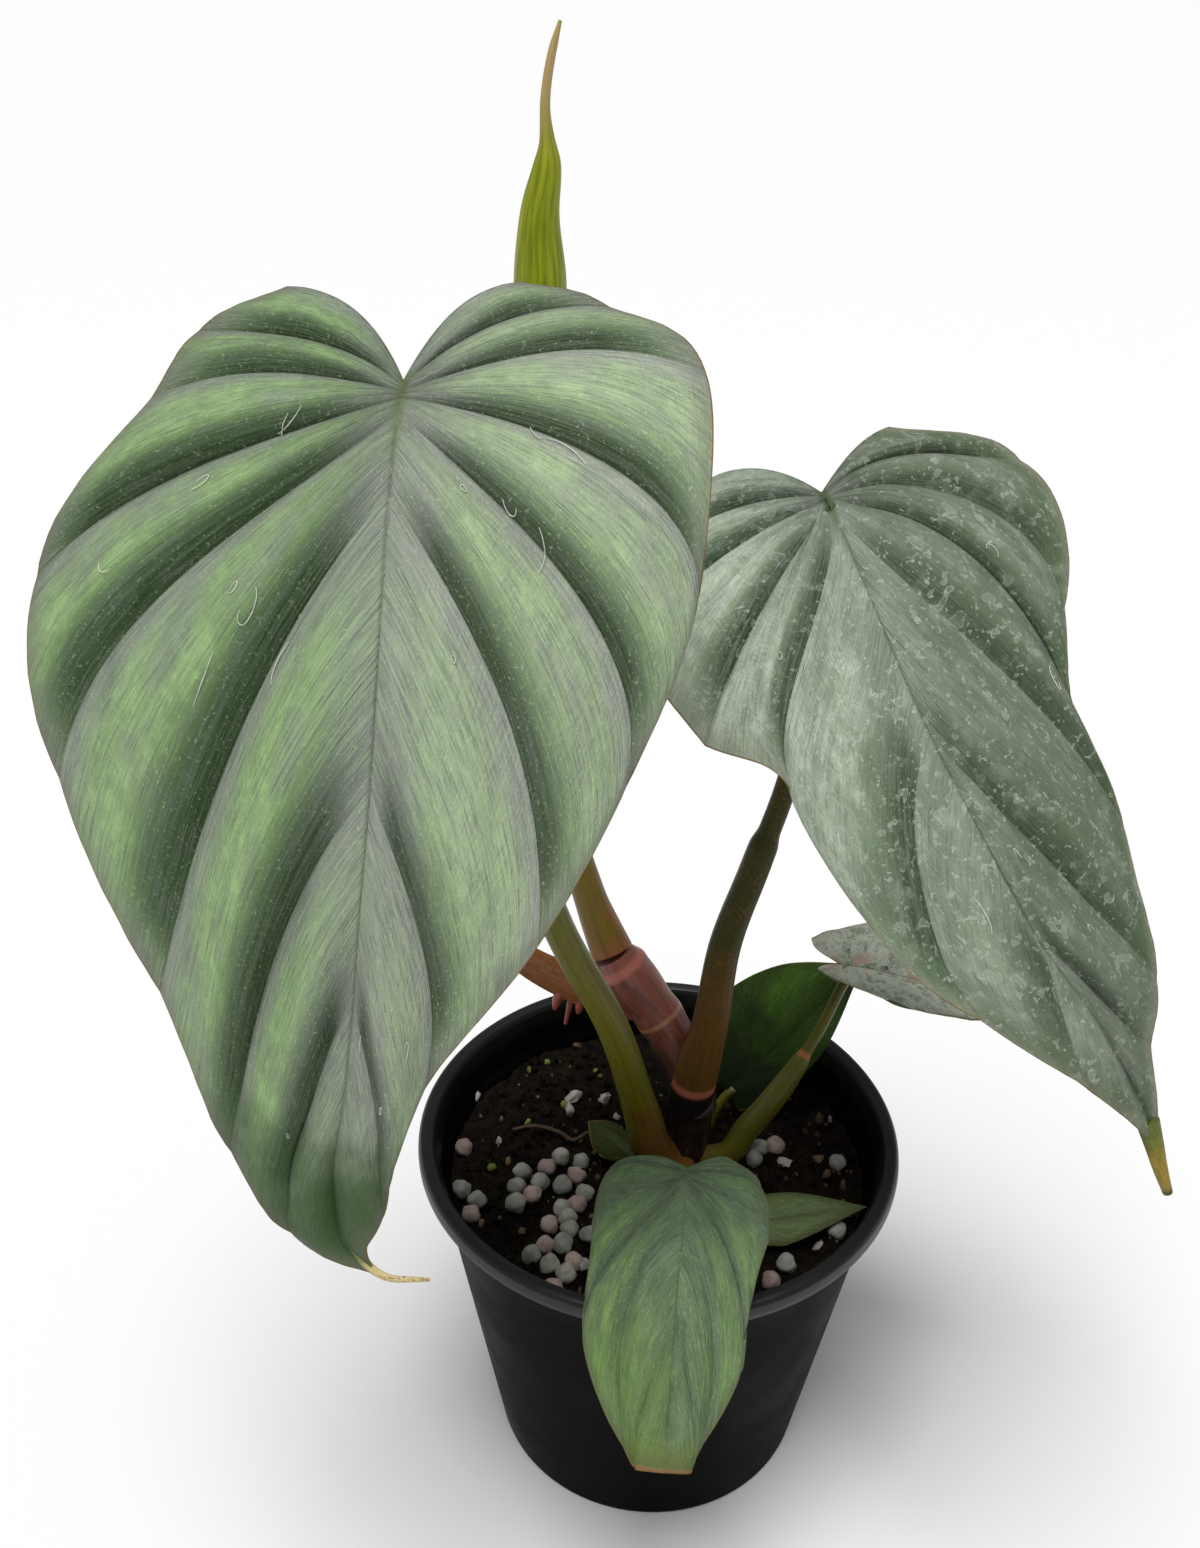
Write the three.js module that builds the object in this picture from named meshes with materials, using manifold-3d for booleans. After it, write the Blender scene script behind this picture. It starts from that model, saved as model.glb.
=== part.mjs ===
// A potted philodendron with silvery quilted leaves, in its black nursery pot. Millimetres, +Z up.
// The origin is the centre of the pot's flat base. The front of the plant faces -Y.
import * as THREE from "three";
import { mergeVertices } from "three/addons/utils/BufferGeometryUtils.js";
import Module from "manifold-3d";

const wasm = await Module();
wasm.setup();

// Driving dimensions of the pot
const POT_HEIGHT = 85;
const RIM_RADIUS = 53;
const BASE_RADIUS = 36;
const WALL = 1.4;
const FLOOR = 1.6;
const LIP_WIDTH = 2.6;
const LIP_DEPTH = 4.6;
const STEP_DEPTH = 12;
const DRAIN_HOLES = 6;
const DRAIN_RADIUS = 3.5;
const DRAIN_CIRCLE = 27;

// Driving dimensions of the soil and of the feed pellets lying on it
const SOIL_LEVEL = 73;
const SOIL_ROUGHNESS = 0.7;
const PELLET_RADIUS = 2.1;
const PELLET_SUNK = 0.5;

// Fit between pieces that touch, the blade thickness, and the finest sliver kept after a cut
const GAP = 0.3;
const BLADE = 0.8;
const STALK_END = 2.5;
const FOLD_ROOM = 0.4;
const SLIVER = 0.02;

// Quilting: the panel width at which its height is half as steep, how much of it the margin loses, and how
// low in its panel each ridge sits
const WIDE_PANEL = 45;
const MARGIN_FADE = 0.7;
const SKEW = 1.6;

// Places of the feed pellets on the soil, [x, y]
const PELLETS = [
  [-43.6, 3.5], [-43, -9.5], [-39.5, -12.5], [-40.5, -16.5], [-30, -3.5], [-31, -8.5],
  [-27.5, -11], [-31, -14], [-26, -7.5], [-24.5, -2.5], [-21.5, -0.5], [-17, -0.5],
  [-18, -5], [-21, -7.5], [-16, -9.5], [-17.5, -13], [-21, -13.5], [-19.5, -17.5],
  [-23.5, -19.5], [-19, -21], [-15, -22.5], [-24, -25], [-27, -27.5], [-20.5, -26],
  [-18, -29.5], [-23, -30.5], [-19.5, -33], [-22, -37], [23.5, 5], [22, 1],
  [27, 5.5], [40.5, -0.5], [26.5, -29.5], [23, -33], [38, -20.5],
];

// Leaves. Each blade is drawn flat, in millimetres across and along its midrib, and then bent.
// slope: degrees below level along the midrib. heading: compass degrees of the midrib, from +X to +Y.
// roll: degrees the right half is raised. sway: sideways drift of the midrib within the blade.
// fold and curl: how far the left and right halves drop, in degrees and in degrees per millimetre.
// starts: where the veins leave the midrib. Each vein: [across and along at its margin end, leaving angle,
// arriving angle, and how far the margin bulges between it and the next]. The first is the edge of the notch,
// and the last one closes the tip.
const LEAVES = {
  leaf_left: {
    at: [-42.5, -45, 265],
    slope: [[-50, 15], [-25, 25], [0, 45], [25, 66], [70, 78], [130, 84], [160, 88]],
    heading: [[0, -98]],
    roll: 0,
    sway: [[0, 0], [40, -0.5], [80, -3], [110, -6], [128, -8.5], [138, -8], [145, -2]],
    fold: [6, 6],
    curl: [0.15, 0.15],
    quilt: 0.21,
    grid: [4, 9],
    starts: [0, 0.8, 1.6, 2.6, 5, 16, 58, 92, 132],
    left: [
      [21.5, -17.8, 150, 100], [34, -10, 128, 95], [39.5, 2, 102, 66], [57, 32, 72, 44, 0.8],
      [52.5, 64.5, 50, 10], [33.2, 98.3, 38, 10], [18.4, 126, 34, 2], [9.8, 140, 22, 12, 1.6],
      [0, 145, 0, 0],
    ],
    right: [
      [14, -20, 160, 112], [27, -18, 143, 100], [42, -9, 118, 76], [44.5, 27, 88, 8], [37, 56, 55, -4],
      [27, 82, 38, 2], [12.8, 107, 24, -4], [8.4, 132, 14, 0], [0, 145, 0, 0],
    ],
    drip: { path: [[-5.5, 140], [-3.4, 143.4], [0, 145.2], [4.4, 145.2]], from: 1.1, to: 0.5 },
  },
  leaf_right: {
    at: [23, -6, 235],
    slope: [[-40, 8], [0, 30], [50, 50], [145, 68]],
    heading: [[0, -57], [80, -48], [145, -38]],
    roll: 22,
    sway: [[0, 0], [40, -3.5], [80, 0], [105, 8.5], [128, 14.5], [145, 17.5]],
    fold: [14, 14],
    curl: [0.3, 0.3],
    quilt: 0.19,
    grid: [4, 9],
    starts: [0, 0.8, 1.6, 2.6, 5, 45, 84, 114],
    left: [
      [14, -16, 160, 108], [28, -11, 128, 98], [40.5, 3, 101, 74], [35, 31, 64, 35, -2.5],
      [24.6, 49, 26, -3, 3.2], [16.8, 93.7, 41, 5], [8.6, 113, 14, -6], [0, 131, 0, 0],
    ],
    right: [
      [21, -9.4, 122, 98], [44.3, 3.6, 118, 77, 3.6], [38.2, 34.5, 102, -20, -1], [29.8, 53, 73, -10],
      [29.8, 74.5, 21, 6], [18.3, 103, 12, 5], [9, 113, 24, 34], [0, 131, 0, 0],
    ],
    drip: { path: [[14, 125], [14.3, 130], [14.6, 135], [15.4, 140.5]], from: 2.1, to: 0.9 },
  },
  leaf_front: {
    at: [4, -36, 107.5],
    slope: [[-10, 12], [0, 25], [25, 50], [60, 68]],
    heading: [[0, -97]],
    roll: 0,
    sway: [[0, 0], [58, 0.5]],
    fold: [8, 8],
    curl: [0.5, 0.5],
    quilt: 0.15,
    grid: [3, 8],
    starts: [0, 0.8, 1.6, 3, 12.5, 28, 45],
    left: [
      [8, -2.4, 118, 92, 0.6], [15.6, 0.8, 100, 55], [18, 12, 62, 12, -1], [18.1, 33, 42, 2, 0.8],
      [8.4, 53.8, 54, -11, -0.3], [5.4, 57.8, 15, -8, 1.6], [0, 57.6, 0, 0],
    ],
    right: [
      [8, -3.7, 118, 92, 0.8], [15, 1.2, 100, 55], [17.2, 12, 64, 8, -1.5], [13.6, 37, 45, -6],
      [7, 52, 36, -8, -0.3], [5, 57, 15, -8, 1.4], [0, 57.6, 0, 0],
    ],
  },
  leaf_scarred: {
    at: [41, 22, 113.5],
    slope: [[-15, 0], [0, 3], [20, 10], [50, 20]],
    heading: [[0, -10], [45, -16]],
    roll: 15,
    sway: [[0, 0], [45, 0]],
    fold: [-26, -26],
    curl: [0.6, 0.6],
    quilt: 0.14,
    grid: [3, 6],
    starts: [0, 0.8, 2, 10, 32],
    left: [[4, -5.5, 150, 100], [7.5, -1, 96, 30], [12.5, 15, 58, 4], [9.5, 29, 36, -4], [0, 42, 0, 0]],
    right: [[5.2, -7.6, 150, 100], [8.2, -2, 96, 30], [12.5, 14, 58, 4], [8, 29, 36, -4], [0, 42, 0, 0]],
  },
  leaf_back: {
    at: [17, 16, 81],
    slope: [[-6, -40], [20, -36], [42, -26]],
    heading: [[0, 22], [42, 32]],
    roll: 45,
    sway: [[0, 0], [42, 1]],
    fold: [6, 6],
    curl: [0.4, 0.3],
    quilt: 0.1,
    grid: [3, 6],
    foot: {
      path: [[12, 13, 70], [13.4, 14, 76], [16, 15.6, 80], [18, 16.6, 81.6]],
      wide: [[0, 1.3], [1, 1]],
    },
    starts: [0, 0.8, 6, 18],
    left: [[5, -1, 105, 70], [8.5, 9, 70, 20], [8, 24, 42, 0], [0, 43, 0, 0]],
    right: [[10, 1, 100, 60], [17, 12, 66, 22], [13.2, 28, 42, 2], [0, 43, 0, 0]],
  },
  leaf_low: {
    at: [16, -21, 76.5],
    slope: [[-4, -14], [10, -6], [30, 2]],
    heading: [[0, 2], [30, 14]],
    roll: 8,
    sway: [[0, 0], [30, 0]],
    fold: [8, 8],
    curl: [0.8, 0.8],
    quilt: 0.1,
    grid: [3, 5],
    foot: {
      path: [[13, -13, 70], [13.4, -15, 74.6], [15, -18.2, 76], [18.2, -19.8, 76.6]],
      wide: [[0, 1], [1, 0.8]],
    },
    starts: [0, 1, 6],
    left: [[4, 1, 70, 30], [5.7, 11, 36, 2], [0, 29, 0, 0]],
    right: [[5, 1, 70, 30], [7.7, 12, 36, 2], [0, 29, 0, 0]],
  },
  leaf_sprout: {
    at: [-4.2, 0, 75.2],
    slope: [[-4, -34], [8, -24], [16, -8]],
    heading: [[0, 156], [16, 150]],
    roll: -12,
    sway: [[0, 0], [16, 0]],
    fold: [6, 6],
    curl: [1, 1],
    quilt: 0.1,
    grid: [3, 5],
    foot: {
      path: [[-3.4, -2.1, 70], [-3.4, -1.9, 73.6], [-4, -0.7, 75], [-5.2, 0.5, 75.9]],
      wide: [[0, 0.8], [1, 0.7]],
    },
    starts: [0, 0.8, 3],
    left: [[2.8, 1.5, 60, 30], [3.8, 7.5, 36, 4, 0.5], [0, 14, 0, 0]],
    right: [[3, 1.5, 60, 30], [4.8, 8, 36, 4, 0.7], [0, 14, 0, 0]],
  },
};

// Stems and stalks: middle line, then radius across and radius through, each as [share of length, mm]
const STALKS = {
  stem: {
    path: [[6, 2, 46], [6.5, 1, 73], [7, 2, 95], [3, 5.5, 105], [-3, 8, 114], [-8, 9.5, 120], [-11, 10, 125]],
    wide: [[0, 3.6], [0.26, 4.1], [0.5, 4.6], [0.52, 5.7], [0.55, 4.8], [0.76, 4.5], [0.78, 5.4], [0.81, 4.6],
      [0.95, 4.4], [0.97, 4.9], [1, 4.3]],
    sides: 12,
    steps: 30,
  },
  stalk_left: {
    path: [[4, 0, 74], [-1, -3, 81], [-4, -4, 93], [-10.5, -8, 119], [-22, -12, 148], [-32, -20, 190],
      [-39, -32, 235], [-42, -43.6, 256], [-42.8, -49, 261.8]],
    wide: [[0, 4.6], [0.06, 4.4], [0.15, 3.6], [0.5, 3], [0.92, 2.3], [1, 1.9]],
    sides: 10,
    steps: 22,
  },
  stalk_right: {
    path: [[6.5, 1, 90], [7.5, 0.5, 99], [10, -1, 115], [12, -2.5, 137], [17, -4, 158], [22, -5, 180],
      [24.4, -4.6, 210], [24.2, -6.4, 226], [24.6, -8.6, 233.6]],
    wide: [[0, 5], [0.07, 4.9], [0.17, 3.9], [0.4, 3.4], [0.5, 3.3], [0.53, 2.8], [0.92, 2.2], [1, 1.8]],
    sides: 10,
    steps: 22,
  },
  stalk_scarred: {
    path: [[8, 0.5, 75], [16, 0, 77.5], [20, 2, 83], [24.5, 5, 87], [29, 9, 91], [36, 14.6, 101],
      [41.5, 20, 110.4], [44, 21.4, 113]],
    wide: [[0, 3], [0.2, 3.4], [0.42, 3.3], [0.58, 2.4], [0.64, 1.4], [1, 1.2]],
    thick: [[0, 2.6], [0.2, 2.4], [0.58, 1.8], [0.64, 1.3], [1, 1.1]],
    sides: 8,
    steps: 16,
  },
  stalk_front: {
    path: [[6, -1, 76], [6, -8, 77.8], [5.5, -20, 86], [4.6, -31, 97.4], [3.9, -38, 104.6]],
    wide: [[0, 2.6], [0.3, 2], [0.9, 1.5], [1, 1.3]],
    sides: 8,
    steps: 8,
  },
  stalk_new: {
    path: [[-11, 10, 125.6], [-13, 11.5, 130], [-16, 13, 138], [-22, 16, 160], [-25, 18, 190],
      [-26, 19, 218]],
    wide: [[0, 3.9], [0.06, 3.6], [0.4, 3], [1, 2.3]],
    sides: 10,
    steps: 14,
  },
};

// The rolled new leaf: middle line, and radius of the roll
const NEW_LEAF = {
  path: [[-26, 19.1, 218.6], [-26, 19.6, 240], [-26, 20, 263], [-26, 20, 275], [-24.6, 20, 284],
    [-25, 20, 293], [-24, 20, 300], [-22.5, 20, 305.5]],
  wide: [[0, 2.4], [0.12, 4.4], [0.5, 4.7], [0.64, 3.5], [0.74, 2.4], [0.79, 1.3], [0.84, 0.9],
    [0.95, 0.7], [1, 0.3]],
  sides: 12,
  steps: 20,
};

// The papery old sheath round the stem, its root stubs, and a dry root lying on the soil
const OLD_SHEATH = {
  path: [[-5, 8, 112.5], [-12, 8.2, 115], [-19, 8.2, 118], [-26, 8, 122], [-31, 7.6, 126]],
  wide: [[0, 4], [0.4, 4.6], [1, 3.4]],
  thick: [[0, 2.4], [1, 1.2]],
  sides: 10,
  steps: 8,
};
const ROOT_STUBS = [
  { path: [[-19.2, 8, 116], [-20, 8, 111.5], [-20.8, 7.6, 107.4]], wide: [[0, 1.2], [0.4, 0.7], [1, 0.4]] },
  { path: [[-21.8, 8, 117], [-22.8, 7.2, 113.4], [-23.1, 7, 111.8]], wide: [[0, 1.3], [0.7, 0.9], [1, 0.4]] },
  { path: [[-17.4, 8, 115.4], [-17.8, 7.2, 112.2], [-18.1, 7, 110.8]], wide: [[0, 1.3], [0.7, 0.9], [1, 0.4]] },
];
const DRY_ROOT = {
  path: [[-33, 10, 74], [-28, 11, 74.3], [-22, 9, 74.2], [-19, 6.5, 74.3], [-15.5, 8.5, 75]],
  wide: [[0, 0.4], [0.5, 0.6], [1, 0.5]],
  sides: 6,
  steps: 12,
};

const rad = THREE.MathUtils.degToRad;

// Value at a place between knots [place, value], eased so that it never overshoots them.
function eased(knots, place) {
  const last = knots.length - 1;
  if (last === 0 || place <= knots[0][0]) return knots[0][1];
  if (place >= knots[last][0]) return knots[last][1];
  const rise = (i) => (knots[i + 1][1] - knots[i][1]) / (knots[i + 1][0] - knots[i][0]);
  const tangent = (i) => {
    if (i === 0) return rise(0);
    if (i === last) return rise(last - 1);
    const before = rise(i - 1);
    const after = rise(i);
    return before * after > 0 ? (2 * before * after) / (before + after) : 0;
  };
  let i = 0;
  while (place > knots[i + 1][0]) i++;
  const span = knots[i + 1][0] - knots[i][0];
  const t = (place - knots[i][0]) / span;
  const s = 1 - t;
  return s * s * (1 + 2 * t) * knots[i][1] + t * t * (3 - 2 * t) * knots[i + 1][1]
    + span * t * s * (s * tangent(i) - t * tangent(i + 1));
}

// Smooth value at a fractional place in a list.
function between(values, place) {
  const last = values.length - 1;
  const i = Math.min(Math.floor(place), last - 1);
  const t = place - i;
  const [a, b, c, d] = [-1, 0, 1, 2].map((k) => values[THREE.MathUtils.clamp(i + k, 0, last)]);
  const start = i === 0 ? c - b : (c - a) / 2;
  const end = i === last - 1 ? c - b : (d - b) / 2;
  return b + t * (start + t * (3 * (c - b) - 2 * start - end + t * (start + end - 2 * (c - b))));
}

// Solids for cutting and joining
function solidOf(geometry) {
  const merged = mergeVertices(new THREE.BufferGeometry()
    .setAttribute("position", geometry.getAttribute("position"))
    .setIndex(geometry.index), 1e-4);
  return new wasm.Manifold(new wasm.Mesh({
    numProp: 3,
    vertProperties: merged.attributes.position.array,
    triVerts: new Uint32Array(merged.index.array),
  }));
}

function geometryOf(solid) {
  const mesh = solid.getMesh();
  const points = new Float32Array(mesh.numVert * 3);
  for (let i = 0; i < mesh.numVert; i++) {
    points.set(mesh.vertProperties.subarray(i * mesh.numProp, i * mesh.numProp + 3), i * 3);
  }
  return new THREE.BufferGeometry()
    .setAttribute("position", new THREE.BufferAttribute(points, 3))
    .setIndex(new THREE.BufferAttribute(new Uint32Array(mesh.triVerts), 1));
}

// The biggest piece left of a body after its neighbours are taken away.
function seated(body, ...neighbours) {
  const rest = neighbours.reduce((left, neighbour) => left.subtract(neighbour), body);
  return rest.decompose().sort((a, b) => b.volume() - a.volume())[0];
}

// A round or oval stalk that follows a middle line, closed at both ends. extra widens it all round.
function stalk({ path, wide, thick = wide, sides = 8, steps = 10 }, extra = 0) {
  const line = new THREE.CatmullRomCurve3(path.map((p) => new THREE.Vector3(...p)), false, "centripetal");
  const points = [];
  const faces = [];
  let across = new THREE.Vector3(1, 0, 0);
  for (let i = 0; i <= steps; i++) {
    const share = i / steps;
    const centre = line.getPointAt(share);
    const along = line.getTangentAt(share);
    const through = new THREE.Vector3().crossVectors(along, across).normalize();
    across = new THREE.Vector3().crossVectors(through, along).normalize();
    for (let k = 0; k < sides; k++) {
      const turn = (2 * Math.PI * k) / sides;
      points.push(centre.clone()
        .addScaledVector(across, Math.cos(turn) * (eased(wide, share) + extra))
        .addScaledVector(through, Math.sin(turn) * (eased(thick, share) + extra)));
    }
  }
  const ring = (i, k) => i * sides + (k % sides);
  for (let i = 0; i < steps; i++) {
    for (let k = 0; k < sides; k++) {
      faces.push(ring(i, k), ring(i, k + 1), ring(i + 1, k + 1));
      faces.push(ring(i, k), ring(i + 1, k + 1), ring(i + 1, k));
    }
  }
  const ends = [line.getPointAt(0), line.getPointAt(1)].map((p) => points.push(p) - 1);
  for (let k = 0; k < sides; k++) {
    faces.push(ends[0], ring(0, k + 1), ring(0, k));
    faces.push(ends[1], ring(steps, k), ring(steps, k + 1));
  }
  return new THREE.BufferGeometry().setFromPoints(points).setIndex(faces);
}

// Bends a flat blade: returns a function from millimetres across and along to a point in space.
function bentBlade(leaf) {
  const STEP = 0.5;
  const direction = (along) => {
    const down = rad(eased(leaf.slope, along));
    const turn = rad(eased(leaf.heading, along));
    return new THREE.Vector3(
      Math.cos(down) * Math.cos(turn),
      Math.cos(down) * Math.sin(turn),
      -Math.sin(down),
    );
  };
  const walked = (sign) => {
    const line = [new THREE.Vector3(...leaf.at)];
    for (let i = 0; i < 400; i++) {
      line.push(line[i].clone().addScaledVector(direction(sign * (i + 0.5) * STEP), sign * STEP));
    }
    return line;
  };
  const ahead = walked(1);
  const behind = walked(-1);
  return (across, along, lift = 0) => {
    const line = along < 0 ? behind : ahead;
    const place = Math.abs(along) / STEP;
    const i = Math.floor(place);
    const middle = line[i].clone().lerp(line[i + 1], place - i);
    const forward = direction(along);
    const turn = rad(eased(leaf.heading, along));
    const level = new THREE.Vector3(-Math.sin(turn), Math.cos(turn), 0);
    const up = new THREE.Vector3().crossVectors(forward, level);
    const side = level.multiplyScalar(Math.cos(rad(leaf.roll))).addScaledVector(up, Math.sin(rad(leaf.roll)));
    const normal = new THREE.Vector3().crossVectors(forward, side);
    const half = across > 0 ? 1 : 0;
    const reach = Math.abs(across);
    const fold = rad(leaf.fold[half]);
    const curl = rad(leaf.curl[half]);
    const outward = (Math.sin(fold + curl * reach) - Math.sin(fold)) / curl;
    const drop = (Math.cos(fold) - Math.cos(fold + curl * reach)) / curl;
    return middle.addScaledVector(side, Math.sign(across) * outward).addScaledVector(normal, lift - drop);
  };
}

// A point of the flat half blade: vein is a fractional vein number, out runs from midrib to margin.
function veinPoint(leaf, veins, side, vein, out) {
  const start = between(leaf.starts, vein);
  const panel = Math.min(Math.floor(vein), veins.length - 2);
  const bulge = (veins[panel][4] ?? 0) * 4 * (vein - panel) * (1 - vein + panel);
  const [marginAcross, along, leave, arrive] = [0, 1, 2, 3].map(
    (k) => between(veins.map((row) => row[k]), vein),
  );
  const across = marginAcross + bulge;
  const pull = 0.36 * Math.hypot(across, along - start);
  const leaving = [pull * Math.sin(rad(leave)), start + pull * Math.cos(rad(leave))];
  const arriving = [across - pull * Math.sin(rad(arrive)), along - pull * Math.cos(rad(arrive))];
  const rest = 1 - out;
  const weights = [rest ** 3, 3 * rest * rest * out, 3 * rest * out * out, out ** 3];
  const x = weights[1] * leaving[0] + weights[2] * arriving[0] + weights[3] * across;
  const y = weights[0] * start + weights[1] * leaving[1] + weights[2] * arriving[1] + weights[3] * along;
  return [side * Math.max(x, 0) + eased(leaf.sway, y), y, Math.max(x, 0)];
}

// Height of the quilting: each panel between two sunken veins swells, and dies out at the midrib.
function quilting(leaf, veins, side, vein, out, fromMidrib) {
  const panel = Math.min(Math.floor(vein), veins.length - 2);
  const lower = veinPoint(leaf, veins, side, panel, out);
  const upper = veinPoint(leaf, veins, side, panel + 1, out);
  const width = Math.hypot(upper[0] - lower[0], upper[1] - lower[1]);
  const swell = 1 - Math.abs(2 * (vein - panel) ** SKEW - 1) ** 2.2;
  const away = Math.min(fromMidrib / (0.35 * width + 1), 1);
  const nearMargin = THREE.MathUtils.smoothstep(out, 0.55, 1);
  const height = (leaf.quilt * width) / (1 + width / WIDE_PANEL);
  return height * swell * away * (2 - away) * (1 - MARGIN_FADE * nearMargin);
}

// The closed blade: both halves as one sheet, given thickness with the same triangles on both faces.
function blade(leaf) {
  const bent = bentBlade(leaf);
  const [perPanel, outSteps] = leaf.grid;
  const points = [];
  const faces = [];
  for (const [veins, side] of [[leaf.left, -1], [leaf.right, 1]]) {
    const columns = (veins.length - 1) * perPanel;
    const first = points.length;
    for (let i = 0; i <= columns; i++) {
      for (let j = 0; j <= outSteps; j++) {
        const vein = i / perPanel;
        const out = j / outSteps;
        const [x, y, fromMidrib] = veinPoint(leaf, veins, side, vein, out);
        points.push(bent(x, y, quilting(leaf, veins, side, vein, out, fromMidrib)));
      }
    }
    const at = (i, j) => first + i * (outSteps + 1) + j;
    for (let i = 0; i < columns; i++) {
      for (let j = 0; j < outSteps; j++) {
        const corners = [at(i, j), at(i + 1, j), at(i + 1, j + 1), at(i, j + 1)];
        const [a, b, c, d] = side > 0 ? corners.reverse() : corners;
        faces.push(a, b, c, a, c, d);
      }
    }
  }
  return thickened(new THREE.BufferGeometry().setFromPoints(points).setIndex(faces), BLADE);
}

// Gives a sheet its thickness and closes it along its open border.
function thickened(sheet, thickness) {
  const merged = mergeVertices(sheet, 5e-3);
  const whole = Array.from(merged.index.array);
  const faces = [];
  for (let i = 0; i < whole.length; i += 3) {
    const [a, b, c] = whole.slice(i, i + 3);
    if (a !== b && b !== c && c !== a) faces.push(a, b, c);
  }
  merged.setIndex(faces);
  merged.computeVertexNormals();
  const { position, normal } = merged.attributes;
  const count = position.count;
  const points = [];
  for (const sign of [1, -1]) {
    for (let i = 0; i < count; i++) {
      points.push(new THREE.Vector3().fromBufferAttribute(position, i)
        .addScaledVector(new THREE.Vector3().fromBufferAttribute(normal, i), (sign * thickness) / 2));
    }
  }
  const closed = [];
  const borders = new Set();
  for (let i = 0; i < faces.length; i += 3) {
    const [a, b, c] = faces.slice(i, i + 3);
    closed.push(a, b, c, count + a, count + c, count + b);
    for (const [from, to] of [[a, b], [b, c], [c, a]]) {
      if (!borders.delete(to + "," + from)) borders.add(from + "," + to);
    }
  }
  for (const border of borders) {
    const [from, to] = border.split(",").map(Number);
    closed.push(from, count + from, count + to, from, count + to, to);
  }
  return new THREE.BufferGeometry().setFromPoints(points).setIndex(closed);
}

// The short stalk that a small leaf stands on
function footSolid(leaf, extra = 0) {
  return solidOf(stalk({ ...leaf.foot, sides: 8, steps: 6 }, extra));
}

// A blade with its own short stalk or its thin drip tip, if it has one
function leafSolid(leaf) {
  const body = solidOf(blade(leaf));
  if (leaf.foot) return body.add(footSolid(leaf));
  if (!leaf.drip) return body;
  const bent = bentBlade(leaf);
  const { path, from, to } = leaf.drip;
  const tip = {
    path: path.map(([x, y]) => bent(x, y).toArray()),
    wide: [[0, from], [1, to]],
    thick: [[0, from * 0.6], [1, to]],
    sides: 8,
    steps: 8,
  };
  return body.add(solidOf(stalk(tip)));
}

// Pot: one lathed wall with a rolled lip, and a floor with drain holes
function potSolid() {
  const outer = (z) => BASE_RADIUS + ((RIM_RADIUS - LIP_WIDTH - BASE_RADIUS) * z) / POT_HEIGHT;
  const top = POT_HEIGHT;
  const lipFoot = top - LIP_DEPTH;
  const stepFoot = top - STEP_DEPTH;
  const profile = [
    [0, 0], [BASE_RADIUS - 1.2, 0], [BASE_RADIUS, 1.2],
    [outer(stepFoot) - 0.4, stepFoot], [outer(stepFoot) + 0.6, stepFoot + 1],
    [outer(lipFoot) + 0.5, lipFoot - 0.8], [RIM_RADIUS - 0.9, lipFoot], [RIM_RADIUS, lipFoot + 1.6],
    [RIM_RADIUS - 0.2, top - 1], [RIM_RADIUS - 1.4, top],
    [RIM_RADIUS - LIP_WIDTH - 0.6, top - 0.4], [RIM_RADIUS - LIP_WIDTH - 1.2, top - 1.4],
    [outer(lipFoot) - WALL, lipFoot], [outer(stepFoot) - WALL + 0.5, stepFoot + 2.6],
    [outer(stepFoot) - WALL - 0.5, stepFoot + 1], [outer(FLOOR) - WALL, FLOOR + 1],
    [outer(FLOOR) - WALL - 1, FLOOR],
    [0, FLOOR],
  ];
  const wall = new THREE.LatheGeometry(profile.map(([r, z]) => new THREE.Vector2(r, z)), 48);
  let body = solidOf(wall.rotateX(Math.PI / 2));
  for (let i = 0; i < DRAIN_HOLES; i++) {
    const turn = (2 * Math.PI * (i + 0.5)) / DRAIN_HOLES;
    const hole = wasm.Manifold.cylinder(4 * FLOOR, DRAIN_RADIUS, DRAIN_RADIUS, 14, true);
    body = body.subtract(hole.translate([DRAIN_CIRCLE * Math.cos(turn), DRAIN_CIRCLE * Math.sin(turn), 0]));
  }
  return body;
}

// Height of the uneven soil at a place
function soilHeight(x, y) {
  const broad = Math.sin(0.31 * x + 1.3) * Math.cos(0.27 * y);
  const middling = 0.6 * Math.sin(0.83 * x - 0.71 * y);
  const fine = 0.5 * Math.sin(1.9 * x + 2.3 * y);
  return SOIL_LEVEL + SOIL_ROUGHNESS * (broad + middling + fine);
}

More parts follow.
